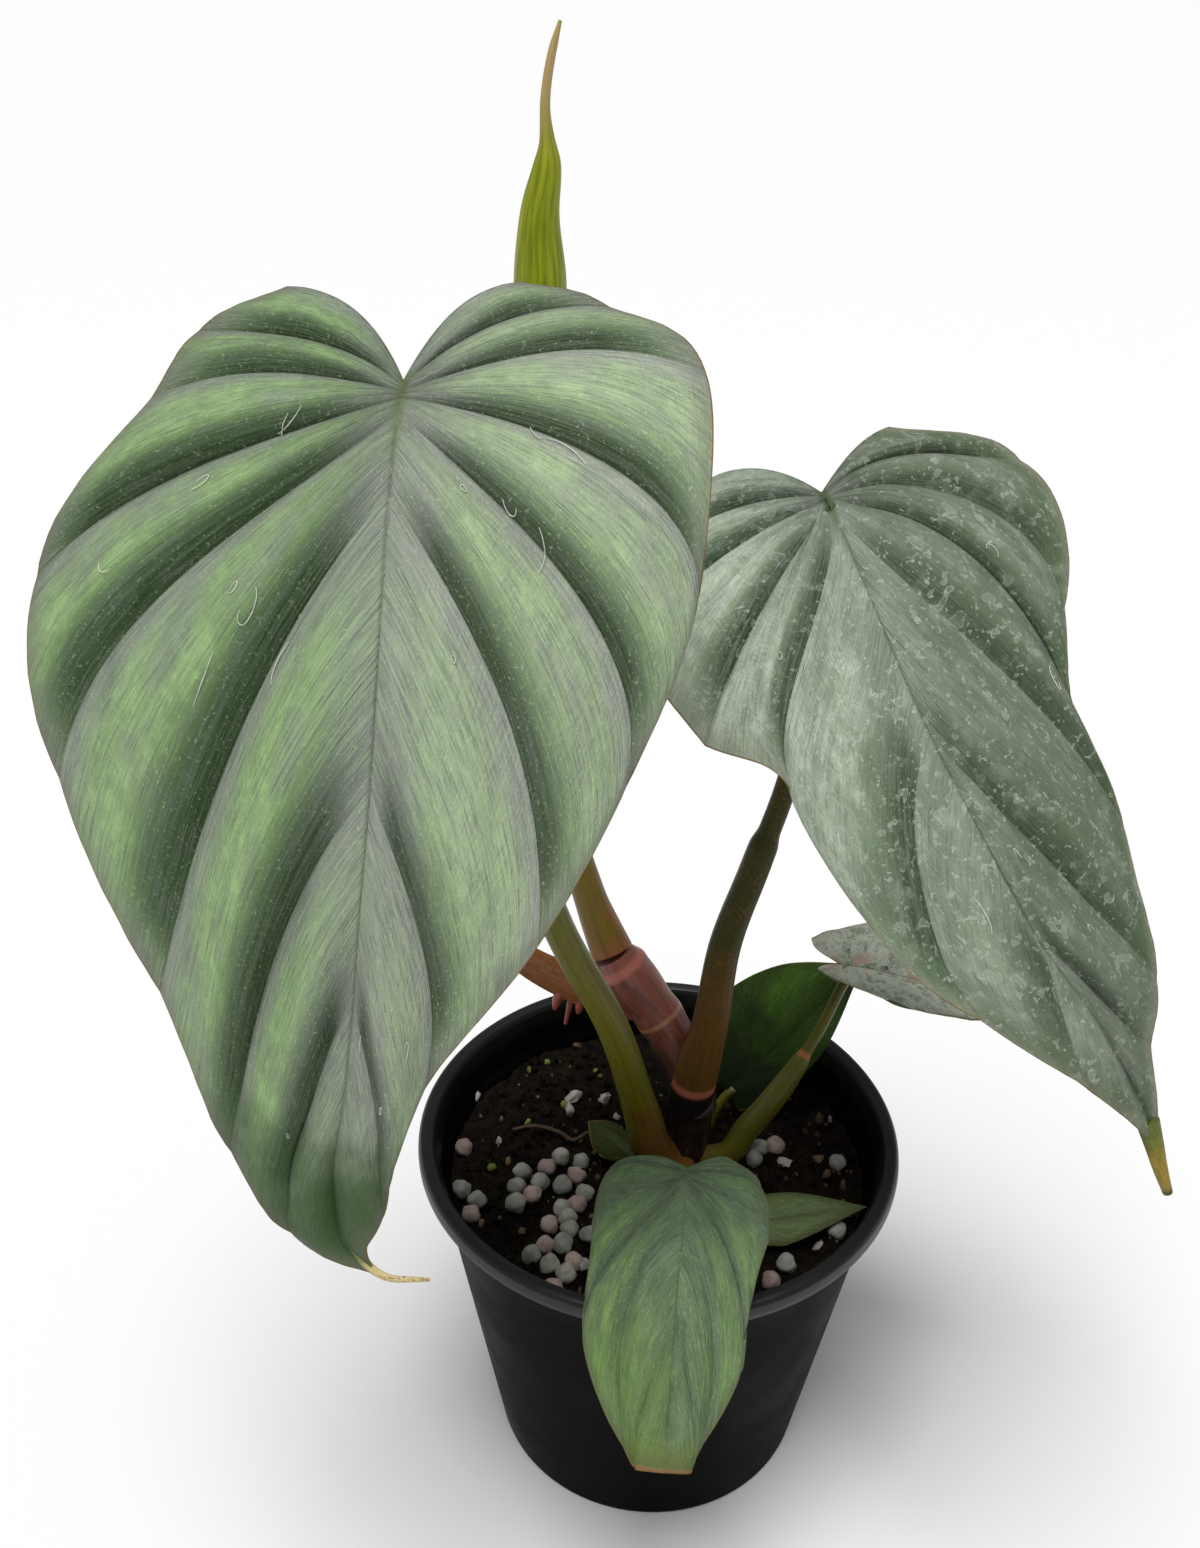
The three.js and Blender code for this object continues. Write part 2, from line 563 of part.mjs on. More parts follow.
// Soil: fills the pot to a gap from its wall; the top is uneven and holds the feed pellets.
function soilSolid() {
  const RINGS = 9;
  const SPOKES = 40;
  const taper = (RIM_RADIUS - LIP_WIDTH - BASE_RADIUS) / POT_HEIGHT;
  const inner = (z) => BASE_RADIUS + taper * z - WALL - GAP - 0.6;
  const bottom = FLOOR + GAP;
  const points = [new THREE.Vector3(0, 0, soilHeight(0, 0)), new THREE.Vector3(0, 0, bottom)];
  for (let i = 1; i <= RINGS + 1; i++) {
    for (let k = 0; k < SPOKES; k++) {
      const turn = (2 * Math.PI * k) / SPOKES;
      const onTop = i <= RINGS;
      const radius = onTop ? (inner(SOIL_LEVEL) * i) / RINGS : inner(bottom) - 1;
      const x = radius * Math.cos(turn);
      const y = radius * Math.sin(turn);
      points.push(new THREE.Vector3(x, y, onTop ? soilHeight(x, y) : bottom));
    }
  }
  const at = (i, k) => 2 + (i - 1) * SPOKES + (k % SPOKES);
  const faces = [];
  for (let k = 0; k < SPOKES; k++) {
    faces.push(0, at(1, k), at(1, k + 1), 1, at(RINGS + 1, k + 1), at(RINGS + 1, k));
    for (let i = 1; i <= RINGS; i++) {
      faces.push(at(i, k), at(i + 1, k), at(i + 1, k + 1), at(i, k), at(i + 1, k + 1), at(i, k + 1));
    }
  }
  let body = solidOf(new THREE.BufferGeometry().setFromPoints(points).setIndex(faces));
  const ball = new THREE.SphereGeometry(PELLET_RADIUS, 7, 4).deleteAttribute("normal").deleteAttribute("uv");
  for (const [x, y] of PELLETS) {
    const pellet = solidOf(mergeVertices(ball, 1e-4));
    body = body.add(pellet.translate([x, y, soilHeight(x, y) + PELLET_RADIUS - PELLET_SUNK]));
  }
  return body;
}

const group = new THREE.Group();
group.name = "potted_philodendron";

function addPiece(name, solid, color, roughness) {
  const geometry = geometryOf(solid.simplify(SLIVER));
  geometry.computeVertexNormals();
  const mesh = new THREE.Mesh(geometry, new THREE.MeshStandardMaterial({ color, roughness, metalness: 0 }));
  mesh.name = name;
  group.add(mesh);
}

// Cuts a stalk off flat, just under the blade it carries.
function cutUnder(body, leaf) {
  const bent = bentBlade(leaf);
  const under = bent(0, STALK_END, -(BLADE / 2 + GAP + FOLD_ROOM));
  const down = bent(0, STALK_END, -1).sub(bent(0, STALK_END, 0));
  return body.trimByPlane(down.toArray(), under.dot(down));
}

const leafBodies = Object.fromEntries(Object.entries(LEAVES).map(([name, leaf]) => [name, leafSolid(leaf)]));

// Stalks, each seated against the stem it grows from and cut off under the blade it carries
const stalkSolid = (name, extra = 0) => solidOf(stalk(STALKS[name], extra));
const stemRoom = stalkSolid("stem", GAP);
const stem = stalkSolid("stem");
const stalkLeft = cutUnder(seated(stalkSolid("stalk_left"), stemRoom), LEAVES.leaf_left);
const stalkRight = cutUnder(seated(stalkSolid("stalk_right"), stemRoom), LEAVES.leaf_right);
const stalkLeftRoom = stalkSolid("stalk_left", GAP);
const stalkScarred = cutUnder(seated(stalkSolid("stalk_scarred"), stemRoom), LEAVES.leaf_scarred);
const stalkScarredRoom = stalkSolid("stalk_scarred", GAP);
const stalkFront = cutUnder(
  seated(stalkSolid("stalk_front"), stemRoom, stalkLeftRoom, stalkScarredRoom), LEAVES.leaf_front,
);
const stalkFrontRoom = stalkSolid("stalk_front", GAP);
const stalkNew = seated(stalkSolid("stalk_new"), stemRoom);
const newLeaf = solidOf(stalk(NEW_LEAF));
const roots = ROOT_STUBS.map((stub) => solidOf(stalk({ ...stub, sides: 6, steps: 4 })));
const sheath = roots.reduce((body, root) => body.add(root), solidOf(stalk(OLD_SHEATH)));
const oldSheath = seated(sheath, stemRoom, stalkLeftRoom);

// Soil with a plain hole round everything that grows out of it
const footRooms = Object.values(LEAVES).filter((leaf) => leaf.foot).map((leaf) => footSolid(leaf, GAP));
const soil = seated(soilSolid(), stemRoom, stalkLeftRoom, stalkScarredRoom, stalkFrontRoom, ...footRooms);

addPiece("pot", potSolid(), "#17171a", 0.42);
addPiece("soil", soil, "#2c231d", 0.95);
addPiece("stem", stem, "#4a2f2c", 0.5);
addPiece("stalk_left", stalkLeft, "#68652b", 0.5);
addPiece("leaf_left", leafBodies.leaf_left, "#54734f", 0.5);
addPiece("stalk_right", stalkRight, "#5d5f26", 0.5);
addPiece("leaf_right", leafBodies.leaf_right, "#5f7562", 0.5);
addPiece("stalk_front", stalkFront, "#6a6c30", 0.5);
addPiece("leaf_front", leafBodies.leaf_front, "#527052", 0.5);
addPiece("stalk_scarred", stalkScarred, "#6f7a20", 0.5);
addPiece("leaf_scarred", leafBodies.leaf_scarred, "#667268", 0.55);
addPiece("leaf_back", leafBodies.leaf_back, "#33572b", 0.5);
addPiece("leaf_low", leafBodies.leaf_low, "#5c7f52", 0.5);
addPiece("leaf_sprout", leafBodies.leaf_sprout, "#4c6a2c", 0.5);
addPiece("stalk_new", stalkNew, "#77703a", 0.5);
addPiece("new_leaf", newLeaf, "#90a63a", 0.45);
addPiece("old_sheath", oldSheath, "#a1582f", 0.6);
addPiece("dry_root", solidOf(stalk(DRY_ROOT)), "#5d4c33", 0.8);

export default group;
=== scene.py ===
"""A potted philodendron with silvery quilted leaves in a black nursery pot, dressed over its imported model."""
import math
import random

import bmesh
import bpy
import numpy as np
from mathutils import Matrix, Vector, noise


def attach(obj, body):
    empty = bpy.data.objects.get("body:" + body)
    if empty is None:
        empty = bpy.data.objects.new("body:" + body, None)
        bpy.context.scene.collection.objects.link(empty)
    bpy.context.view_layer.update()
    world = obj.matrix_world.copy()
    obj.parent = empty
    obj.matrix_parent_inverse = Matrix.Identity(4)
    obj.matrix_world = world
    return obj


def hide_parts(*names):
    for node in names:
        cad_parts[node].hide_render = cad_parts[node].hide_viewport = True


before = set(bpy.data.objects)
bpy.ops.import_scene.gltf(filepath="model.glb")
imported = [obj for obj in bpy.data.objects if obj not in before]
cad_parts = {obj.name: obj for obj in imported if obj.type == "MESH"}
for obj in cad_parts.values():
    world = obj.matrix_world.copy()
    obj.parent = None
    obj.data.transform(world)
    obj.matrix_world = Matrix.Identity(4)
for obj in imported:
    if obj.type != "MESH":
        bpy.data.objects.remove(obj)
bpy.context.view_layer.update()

MM = 0.001

# Camera: fitted to the pot's rim and base, in millimetres and degrees. NEAREST is in metres.
CAMERA_PLACE = (-14.1, -266.6, 331.3)
CAMERA_PITCH = 30.35
CAMERA_ROLL = 0.9
FOCAL_PIXELS = 1600
PHOTO_HEIGHT = 1548
SENSOR = 36
NEAREST = 0.01

# Strength of the white surroundings, the broad soft light with its width in degrees and where it comes from,
# and half the width of the floor beneath in metres
SURROUNDINGS = 0.3
KEY_POWER = 2.9
KEY_SOFTNESS = 32
KEY_FROM = (-0.1, -0.25, 1)
STAGE_HALF = 8

# Pot, soil and feed pellets, in millimetres
POT_HEIGHT = 85
RIM_RADIUS = 53
BASE_RADIUS = 36
WALL = 1.4
FLOOR = 1.6
LIP_WIDTH = 2.6
LIP_DEPTH = 4.6
STEP_DEPTH = 12
DRAIN_HOLES = 6
DRAIN_RADIUS = 3.5
DRAIN_CIRCLE = 27
POT_SIDES = 192
SOIL_LEVEL = 73
SOIL_ROUGHNESS = 0.7
SOIL_GAP = 0.9
SOIL_GRID = (90, 220)
SOIL_SEED = 7
PELLET_RADIUS = 2.1
PELLET_SUNK = 0.5
PELLETS = [
    (-43.6, 3.5), (-43, -9.5), (-39.5, -12.5), (-40.5, -16.5), (-30, -3.5), (-31, -8.5),
    (-27.5, -11), (-31, -14), (-26, -7.5), (-24.5, -2.5), (-21.5, -0.5), (-17, -0.5),
    (-18, -5), (-21, -7.5), (-16, -9.5), (-17.5, -13), (-21, -13.5), (-19.5, -17.5),
    (-23.5, -19.5), (-19, -21), (-15, -22.5), (-24, -25), (-27, -27.5), (-20.5, -26),
    (-18, -29.5), (-23, -30.5), (-19.5, -33), (-22, -37), (23.5, 5), (22, 1),
    (27, 5.5), (40.5, -0.5), (26.5, -29.5), (23, -33), (38, -20.5),
]
PERLITE = [
    (-19, 21, 2.2), (-20, 17, 1.6), (-12, 22, 1.8), (-9, 15, 1), (-36, 7, 1.1), (29, 2, 1.5), (41, 16, 0.8),
    (-16, -30, 1.2), (34, -23, 1.3), (-42, 21, 1.2), (12, 30, 1.4), (30, 26, 1.1), (-6, 36, 1.2),
]

# How many loose crumbs are strewn, which of them are bark and moss, which pellets are rosy, and where stems
# leave no room for crumbs: across, deep, and how far around
CRUMBS = 1500
CHIP_EVERY = 8
MOSS_EVERY = 21
ROSY_EVERY = 3
STEM_FEET = ((6.5, 1, 5), (1, -2, 5), (12, 0.5, 5), (12, 13, 2.5))

# Blades: thickness in the middle and at the margin, where a stalk ends under its blade, how the quilting
# fades, how low in its panel each ridge sits, the fine ripples on it, and how curved and how long veins are
BLADE = 0.8
MARGIN_BLADE = 0.4
STALK_END = 2.5
UNDER_BLADE = 1.1
WIDE_PANEL = 45
MARGIN_FADE = 0.7
SKEW = 1.6
RIPPLE = 0.011
RIPPLES = 4
VEIN_PULL = 0.36
VEIN_LENGTH = 50

# The raised midrib and veins on the underside, the stretch of midrib that is worked out, and how close two
# points are made one
MIDRIB_HEIGHT = 1.1
MIDRIB_WIDTH = 1.3
VEIN_HEIGHT = 0.35
VEIN_WIDTH = 0.6
MIDRIB_START = -60
MIDRIB_END = 200
MIDRIB_STEP = 0.5
WELD = 0.005

# Lint on the two large leaves: how many fibres and which seed, how high they lie, and how thick they are
LINT = {"leaf_left": (18, 11), "leaf_right": (6, 4)}
LINT_LIFT = 0.3
LINT_THICKNESS = [(0, 0.05), (0.5, 0.075), (1, 0.04)]

# Colours: a pale joint, a rosy and an orange ring, rust, soot, the brown edge and the pale greens beneath
PALE = (0.25, 0.32, 0.16)
ROSE = (0.4, 0.12, 0.08)
ORANGE = (0.4, 0.14, 0.03)
RUST = (0.16, 0.05, 0.012)
SOOT = (0.009, 0.006, 0.006)
BROWN_EDGE = (0.2, 0.11, 0.04)
UNDERSIDE = ((0.13, 0.2, 0.1), (0.09, 0.15, 0.07))

# Fine noise on a blade: its mottling, and its grain as scale, detail and roughness
MOTTLE_SCALE = 380
GRAIN = (1900, 2, 0.7)

# How a blade's surface is drawn; pairs are for its left and right half. The small leaves differ.
# Part of it is painted shade on each panel's lower part, on its flank and in the vein grooves, with its depth
# on each half, and painted light over one half.
LOOK = {"streaks": 30, "roughness": 0.46, "shine": 0.2, "glow": 0.9, "panel_shade": 0.6, "flank_shade": (0.48, 0.64),
    "depth": (1, 0.9), "painted_light": (0, 0.35), "fine": 0.48, "groove_shade": 0.35, "knuckle": 0.8, "rim": 0.45}
SMALL = {"groove_shade": 0.05, "knuckle": 0.25, "panel_shade": 0.1, "depth": (0.12, 0.1), "glow": 0.6, "shine": 0.15,
    "painted_light": (0, 0.1)}

# Leaves: drawn flat in millimetres across and along the midrib, then bent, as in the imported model.
# starts: where the veins leave the midrib. Each vein: across and along at its margin end, the angles at which
# it leaves and arrives, and how far the margin bulges after it.
LEAVES = {
    "leaf_left": dict(
        at=(-42.5, -45, 265), roll=0, fold=(6, 6), curl=(0.15, 0.15), quilt=0.21, grid=(14, 64),
        slope=[(-50, 15), (-25, 25), (0, 45), (25, 66), (70, 78), (130, 84), (160, 88)],
        heading=[(0, -98)],
        sway=[(0, 0), (40, -0.5), (80, -3), (110, -6), (128, -8.5), (138, -8), (145, -2)],
        starts=[0, 0.8, 1.6, 2.6, 5, 16, 58, 92, 132],
        left=[(21.5, -17.8, 150, 100), (34, -10, 128, 95), (39.5, 2, 102, 66), (57, 32, 72, 44, 0.8),
            (52.5, 64.5, 50, 10), (33.2, 98.3, 38, 10), (18.4, 126, 34, 2), (9.8, 140, 22, 12, 1.6),
            (0, 145, 0, 0)],
        right=[(14, -20, 160, 112), (27, -18, 143, 100), (42, -9, 118, 76), (44.5, 27, 88, 8),
            (37, 56, 55, -4), (27, 82, 38, 2), (12.8, 107, 24, -4), (8.4, 132, 14, 0), (0, 145, 0, 0)],
        drip=dict(path=[(-5.5, 140), (-3.4, 143.4), (0, 145.2), (4.4, 145.4), (7, 145.3)],
            thick=1, thin=0.35),
    ),
    "leaf_right": dict(
        at=(23, -6, 235), roll=22, fold=(14, 14), curl=(0.3, 0.3), quilt=0.19, grid=(14, 60),
        slope=[(-40, 8), (0, 30), (50, 50), (145, 68)], heading=[(0, -57), (80, -48), (145, -38)],
        sway=[(0, 0), (40, -3.5), (80, 0), (105, 8.5), (128, 14.5), (145, 17.5)],
        starts=[0, 0.8, 1.6, 2.6, 5, 45, 84, 114],
        left=[(14, -16, 160, 108), (28, -11, 128, 98), (40.5, 3, 101, 74), (35, 31, 64, 35, -2.5),
            (24.6, 49, 26, -3, 3.2), (16.8, 93.7, 41, 5), (8.6, 113, 14, -6), (0, 131, 0, 0)],
        right=[(21, -9.4, 122, 98), (44.3, 3.6, 118, 77, 3.6), (38.2, 34.5, 102, -20, -1),
            (29.8, 53, 73, -10), (29.8, 74.5, 21, 6), (18.3, 103, 12, 5), (9, 113, 24, 34),
            (0, 131, 0, 0)],
        drip=dict(path=[(14, 125), (14.3, 130), (14.6, 135), (15.4, 140.5)],
            thick=2.1, thin=0.9),
    ),
    "leaf_front": dict(
        at=(4, -36, 107.5), roll=0, fold=(8, 8), curl=(0.5, 0.5), quilt=0.1, grid=(12, 44),
        slope=[(-10, 12), (0, 25), (25, 50), (60, 68)], heading=[(0, -97)],
        sway=[(0, 0), (58, 0.5)], starts=[0, 0.8, 1.6, 3, 12.5, 28, 45],
        left=[(8, -2.4, 118, 92, 0.6), (15.6, 0.8, 100, 55), (18, 12, 62, 12, -1), (18.1, 33, 42, 2, 0.8),
            (8.4, 53.8, 54, -11, -0.3), (5.4, 57.8, 15, -8, 1.6), (0, 57.6, 0, 0)],
        right=[(8, -3.7, 118, 92, 0.8), (15, 1.2, 100, 55), (17.2, 12, 64, 8, -1.5), (13.6, 37, 45, -6),
            (7, 52, 36, -8, -0.3), (5, 57, 15, -8, 1.4), (0, 57.6, 0, 0)],
    ),
    "leaf_scarred": dict(
        at=(41, 22, 113.5), roll=15, fold=(-26, -26), curl=(0.6, 0.6), quilt=0.14, grid=(12, 36),
        slope=[(-15, 0), (0, 3), (20, 10), (50, 20)], heading=[(0, -10), (45, -16)],
        sway=[(0, 0)], starts=[0, 0.8, 2, 10, 32],
        left=[(4, -5.5, 150, 100), (7.5, -1, 96, 30), (12.5, 15, 58, 4), (9.5, 29, 36, -4), (0, 42, 0, 0)],
        right=[(5.2, -7.6, 150, 100), (8.2, -2, 96, 30), (12.5, 14, 58, 4), (8, 29, 36, -4),
            (0, 42, 0, 0)],
    ),
    "leaf_back": dict(
        at=(17, 16, 81), roll=45, fold=(6, 6), curl=(0.4, 0.3), quilt=0.1, grid=(12, 30),
        slope=[(-6, -40), (20, -36), (42, -26)], heading=[(0, 22), (42, 32)],
        sway=[(0, 0), (42, 1)], starts=[0, 0.8, 6, 18],
        left=[(5, -1, 105, 70), (8.5, 9, 70, 20), (8, 24, 42, 0), (0, 43, 0, 0)],
        right=[(10, 1, 100, 60), (17, 12, 66, 22), (13.2, 28, 42, 2), (0, 43, 0, 0)],
        foot=dict(path=[(12, 13, 70), (13.4, 14, 76), (16, 15.6, 80), (18, 16.6, 81.6)],
            wide=[(0, 1.3), (1, 1)]),
    ),
    "leaf_low": dict(
        at=(16, -21, 76.5), roll=8, fold=(8, 8), curl=(0.8, 0.8), quilt=0.1, grid=(14, 24),
        slope=[(-4, -14), (10, -6), (30, 2)], heading=[(0, 2), (30, 14)],
        sway=[(0, 0)], starts=[0, 1, 6],
        left=[(4, 1, 70, 30), (5.7, 11, 36, 2), (0, 29, 0, 0)],
        right=[(5, 1, 70, 30), (7.7, 12, 36, 2), (0, 29, 0, 0)],
        foot=dict(path=[(13, -13, 70), (13.4, -15, 74.6), (15, -18.2, 76), (18.2, -19.8, 76.6)],
            wide=[(0, 1), (1, 0.8)]),
    ),
    "leaf_sprout": dict(
        at=(-4.2, 0, 75.2), roll=-12, fold=(6, 6), curl=(1, 1), quilt=0.1, grid=(14, 20),
        slope=[(-4, -34), (8, -24), (16, -8)], heading=[(0, 156), (16, 150)],
        sway=[(0, 0)], starts=[0, 0.8, 3],
        left=[(2.8, 1.5, 60, 30), (3.8, 7.5, 36, 4, 0.5), (0, 14, 0, 0)],
        right=[(3, 1.5, 60, 30), (4.8, 8, 36, 4, 0.7), (0, 14, 0, 0)],
        foot=dict(path=[(-3.4, -2.1, 70), (-3.4, -1.9, 73.6), (-4, -0.7, 75), (-5.2, 0.5, 75.9)],
            wide=[(0, 0.8), (1, 0.7)]),
    ),
}

# Stem, stalks and other tubes: middle line, then radius across and radius through as (share of length, mm)
STALKS = {
    "stem": dict(
        path=[(6, 2, 46), (6.5, 1, 73), (7, 2, 95), (3, 5.5, 105), (-3, 8, 114), (-8, 9.5, 120),
            (-11, 10, 125)],
        wide=[(0, 3.6), (0.26, 4.1), (0.5, 4.6), (0.52, 5.4), (0.56, 4.9), (0.74, 5), (0.785, 5.4),
            (0.82, 5.2), (0.9, 6), (0.95, 6.1), (0.98, 5), (1, 4.2)]),
    "stalk_left": dict(
        path=[(4, 0, 74), (-1, -3, 81), (-4, -4, 93), (-10.5, -8, 119), (-22, -12, 148), (-32, -20, 190),
            (-39, -32, 235), (-42, -43.6, 256), (-42.8, -49, 261.8)],
        wide=[(0, 4.6), (0.06, 4.4), (0.15, 3.6), (0.5, 3), (0.92, 2.3), (1, 1.9)]),
    "stalk_right": dict(
        path=[(6.5, 1, 90), (7.5, 0.5, 99), (10, -1, 115), (12, -2.5, 137), (17, -4, 158), (22, -5, 180),
            (24.4, -4.6, 210), (24.2, -6.4, 226), (24.6, -8.6, 233.6)],
        wide=[(0, 5), (0.07, 4.9), (0.17, 3.9), (0.4, 3.1), (0.5, 2.9), (0.53, 2.2), (0.92, 1.9),
            (1, 1.8)]),
    "stalk_scarred": dict(
        path=[(8, 0.5, 75), (16, 0, 77.5), (20, 2, 83), (24.5, 5, 87), (29, 9, 91), (36, 14.6, 101),
            (41.5, 20, 110.4), (44, 21.4, 113)],
        wide=[(0, 3), (0.2, 3.4), (0.42, 3.3), (0.58, 2.4), (0.64, 1.4), (1, 1.2)],
        thick=[(0, 2.6), (0.2, 2.4), (0.58, 1.8), (0.64, 1.3), (1, 1.1)]),
    "stalk_front": dict(
        path=[(6, -1, 76), (6, -8, 77.8), (5.5, -20, 86), (4.6, -31, 97.4), (3.9, -38, 104.6)],
        wide=[(0, 2.6), (0.3, 2), (0.9, 1.5), (1, 1.3)]),
    "stalk_new": dict(
        path=[(-11, 10, 125.6), (-13, 11.5, 130), (-16, 13, 138), (-22, 16, 160), (-25, 18, 190),
            (-26, 19, 218), (-26, 19.1, 219.4)],
        wide=[(0, 4.6), (0.06, 4.1), (0.14, 3.5), (0.4, 3), (1, 2.3)]),
}
NEW_LEAF = dict(
    path=[(-26, 19.1, 218.6), (-26, 19.6, 240), (-26, 20, 263), (-26, 20, 275), (-24.6, 20, 284),
        (-25, 20, 293), (-24, 20, 300), (-22.5, 20, 305.5)],
    wide=[(0, 2.4), (0.12, 4.4), (0.5, 4.7), (0.64, 3.5), (0.74, 2.4), (0.79, 1.3), (0.84, 0.9),
        (0.95, 0.7), (1, 0.3)])
OLD_SHEATH = dict(
    path=[(-5, 8, 112.5), (-12, 8.2, 115), (-19, 8.2, 118), (-26, 8, 122), (-31, 7.6, 126)],
    wide=[(0, 4), (0.4, 4.6), (1, 3.4)],
    thick=[(0, 2.4), (1, 1.2)])
DRY_ROOT = dict(
    path=[(-33, 10, 74), (-28, 11, 74.3), (-22, 9, 74.2), (-19, 6.5, 74.3), (-15.5, 8.5, 75)],
    wide=[(0, 0.4), (0.5, 0.6), (1, 0.5)])
ROOT_STUBS = [
    dict(path=[(-19.2, 8, 116), (-20, 8, 111.5), (-20.8, 7.6, 107.4)],
        wide=[(0, 1.2), (0.4, 0.7), (1, 0.4)]),
    dict(path=[(-21.8, 8, 117), (-22.8, 7.2, 113.4), (-23.1, 7, 111.8)],
        wide=[(0, 1.3), (0.7, 0.9), (1, 0.4)]),
    dict(path=[(-17.4, 8, 115.4), (-17.8, 7.2, 112.2), (-18.1, 7, 110.8)],
        wide=[(0, 1.3), (0.7, 0.9), (1, 0.4)]),
]


def place_camera():
    """The camera stands where the photograph was taken from."""
    lens = bpy.data.cameras.new("camera")
    lens.sensor_width = SENSOR
    lens.lens = FOCAL_PIXELS / PHOTO_HEIGHT * SENSOR
    lens.clip_start = NEAREST
    camera = bpy.data.objects.new("camera", lens)
    tilt = Matrix.Rotation(math.radians(90 - CAMERA_PITCH), 4, "X")
    roll = Matrix.Rotation(math.radians(CAMERA_ROLL), 4, "Z")
    camera.matrix_world = Matrix.Translation(Vector(CAMERA_PLACE) * MM) @ tilt @ roll
    bpy.context.collection.objects.link(camera)
    bpy.context.scene.camera = camera


class Graph:
    """Short calls for building one procedural material, whose colour is painted layer over layer."""

    def __init__(self, name, color):
        self.material = bpy.data.materials.new(name)
        self.material.use_nodes = True
        self.tree = self.material.node_tree
        self.shader = self.tree.nodes["Principled BSDF"]
        self.color = color

    def add(self, kind, inputs=None, **settings):
        node = self.tree.nodes.new(kind)
        for name, value in settings.items():
            setattr(node, name, value)
        for name, value in (inputs or {}).items():
            self.feed(node.inputs[name], value)
        return node

    def feed(self, socket, value):
        """Sets or links an input; None leaves it as it is."""
        if value is None:
            return
        if isinstance(value, bpy.types.NodeSocket):
            self.tree.links.new(value, socket)
        elif isinstance(value, tuple) and len(value) == 3 and socket.type == "RGBA":
            socket.default_value = (*value, 1)
        else:
            socket.default_value = value

    def fact(self, name):
        """One of the numbers that a mesh knows about each of its points"""
        return self.add("ShaderNodeAttribute", attribute_name=name).outputs["Fac"]

    def place(self):
        return self.add("ShaderNodeTexCoord").outputs["Object"]

    def vector(self, x, y, z=0.0):
        return self.add("ShaderNodeCombineXYZ", {"X": x, "Y": y, "Z": z}).outputs["Vector"]

    def noise(self, scale, detail=3.0, roughness=0.5, at=None):
        """Noise in the object's own space, or at another vector"""
        place = self.place() if at is None else at
        inputs = {"Vector": place, "Scale": scale, "Detail": detail, "Roughness": roughness}
        return self.add("ShaderNodeTexNoise", inputs).outputs["Fac"]

    def drawn_out(self, names, spots, detail=3.0, roughness=0.5, side=0.0):
        """Noise drawn out along a piece: two facts, across and along it, and how many spots each runs over"""
        across, along = (self.times(self.fact(name), count) for name, count in zip(names, spots))
        return self.noise(1.0, detail, roughness, self.vector(across, along, side))

    def math(self, operation, first, *others):
        for other in others:
            first = self.add("ShaderNodeMath", {0: first, 1: other}, operation=operation).outputs[0]
        return first

    def times(self, *values):
        return self.math("MULTIPLY", *values)

    def plus(self, *values):
        return self.math("ADD", *values)

    def most(self, *values):
        return self.math("MAXIMUM", *values)

    def apart(self, a, b):
        return self.math("ABSOLUTE", self.math("SUBTRACT", a, b), 0.0)

    def span(self, value, low, high, to_low=0.0, to_high=1.0):
        """Eases from one value to another while the input goes from low to high."""
        inputs = {"Value": value, "From Min": low, "From Max": high, "To Min": to_low, "To Max": to_high}
        node = self.add("ShaderNodeMapRange", inputs, clamp=True, interpolation_type="SMOOTHSTEP")
        return node.outputs["Result"]

    def mix(self, amount, a, b):
        node = self.add("ShaderNodeMix", data_type="RGBA")
        self.feed(node.inputs["Factor"], amount)
        self.feed(node.inputs[6], a)
        self.feed(node.inputs[7], b)
        return node.outputs[2]

    def paint(self, amount, color):
        """Lays a colour over what is there, by an amount from 0 to 1."""
        self.color = self.mix(amount, self.color, color)

    def bump(self, height, depth, strength=1.0, normal=None):
        inputs = {"Height": height, "Distance": depth * MM, "Strength": strength, "Normal": normal}
        return self.add("ShaderNodeBump", inputs).outputs["Normal"]

    def finish(self, roughness, normal=None, shine=None):
        self.feed(self.shader.inputs["Base Color"], self.color)
        self.feed(self.shader.inputs["Roughness"], roughness)
        self.feed(self.shader.inputs["Normal"], normal)
        self.feed(self.shader.inputs["Specular IOR Level"], shine)
        return self.material


def scaled(color, *shares):
    """A colour with each channel multiplied by its share; a single share is for all three."""
    return tuple(channel * share for channel, share in zip(color, shares * (3 // len(shares))))


def curve(knots, values, tangents, place):
    """Cubic curve through the values at the knots, with a given tangent at each."""
    i = np.clip(np.searchsorted(knots, place) - 1, 0, len(knots) - 2)
    span = knots[i + 1] - knots[i]
    t = (place - knots[i]) / span
    s = 1 - t
    ends = s * s * (1 + 2 * t) * values[i] + t * t * (3 - 2 * t) * values[i + 1]
    return ends + span * t * s * (s * tangents[i] - t * tangents[i + 1])


def eased(knots, place):
    """Value at each place between knots, eased so that it never overshoots them."""
    where, value = np.array(knots, float).T
    place = np.asarray(place, float)
    if len(knots) == 1:
        return np.full(place.shape, value[0])
    rise = np.diff(value) / np.diff(where)
    product = rise[:-1] * rise[1:]
    total = np.where(product > 0, rise[:-1] + rise[1:], 1)
    inner = np.where(product > 0, 2 * product / total, 0)
    tangent = np.concatenate([rise[:1], inner, rise[-1:]])
    return curve(where, value, tangent, np.clip(place, where[0], where[-1]))


def between(values, place):
    """Smooth value at fractional places in a list."""
    values = np.asarray(values, float)
    last = len(values) - 1
    i = np.minimum(np.floor(place).astype(int), last - 1)
    t = place - i
    a, b, c, d = (values[np.clip(i + k, 0, last)] for k in (-1, 0, 1, 2))
    start = np.where(i == 0, c - b, (c - a) / 2)
    end = np.where(i == last - 1, c - b, (d - b) / 2)
    return b + t * (start + t * (3 * (c - b) - 2 * start - end + t * (start + end - 2 * (c - b))))


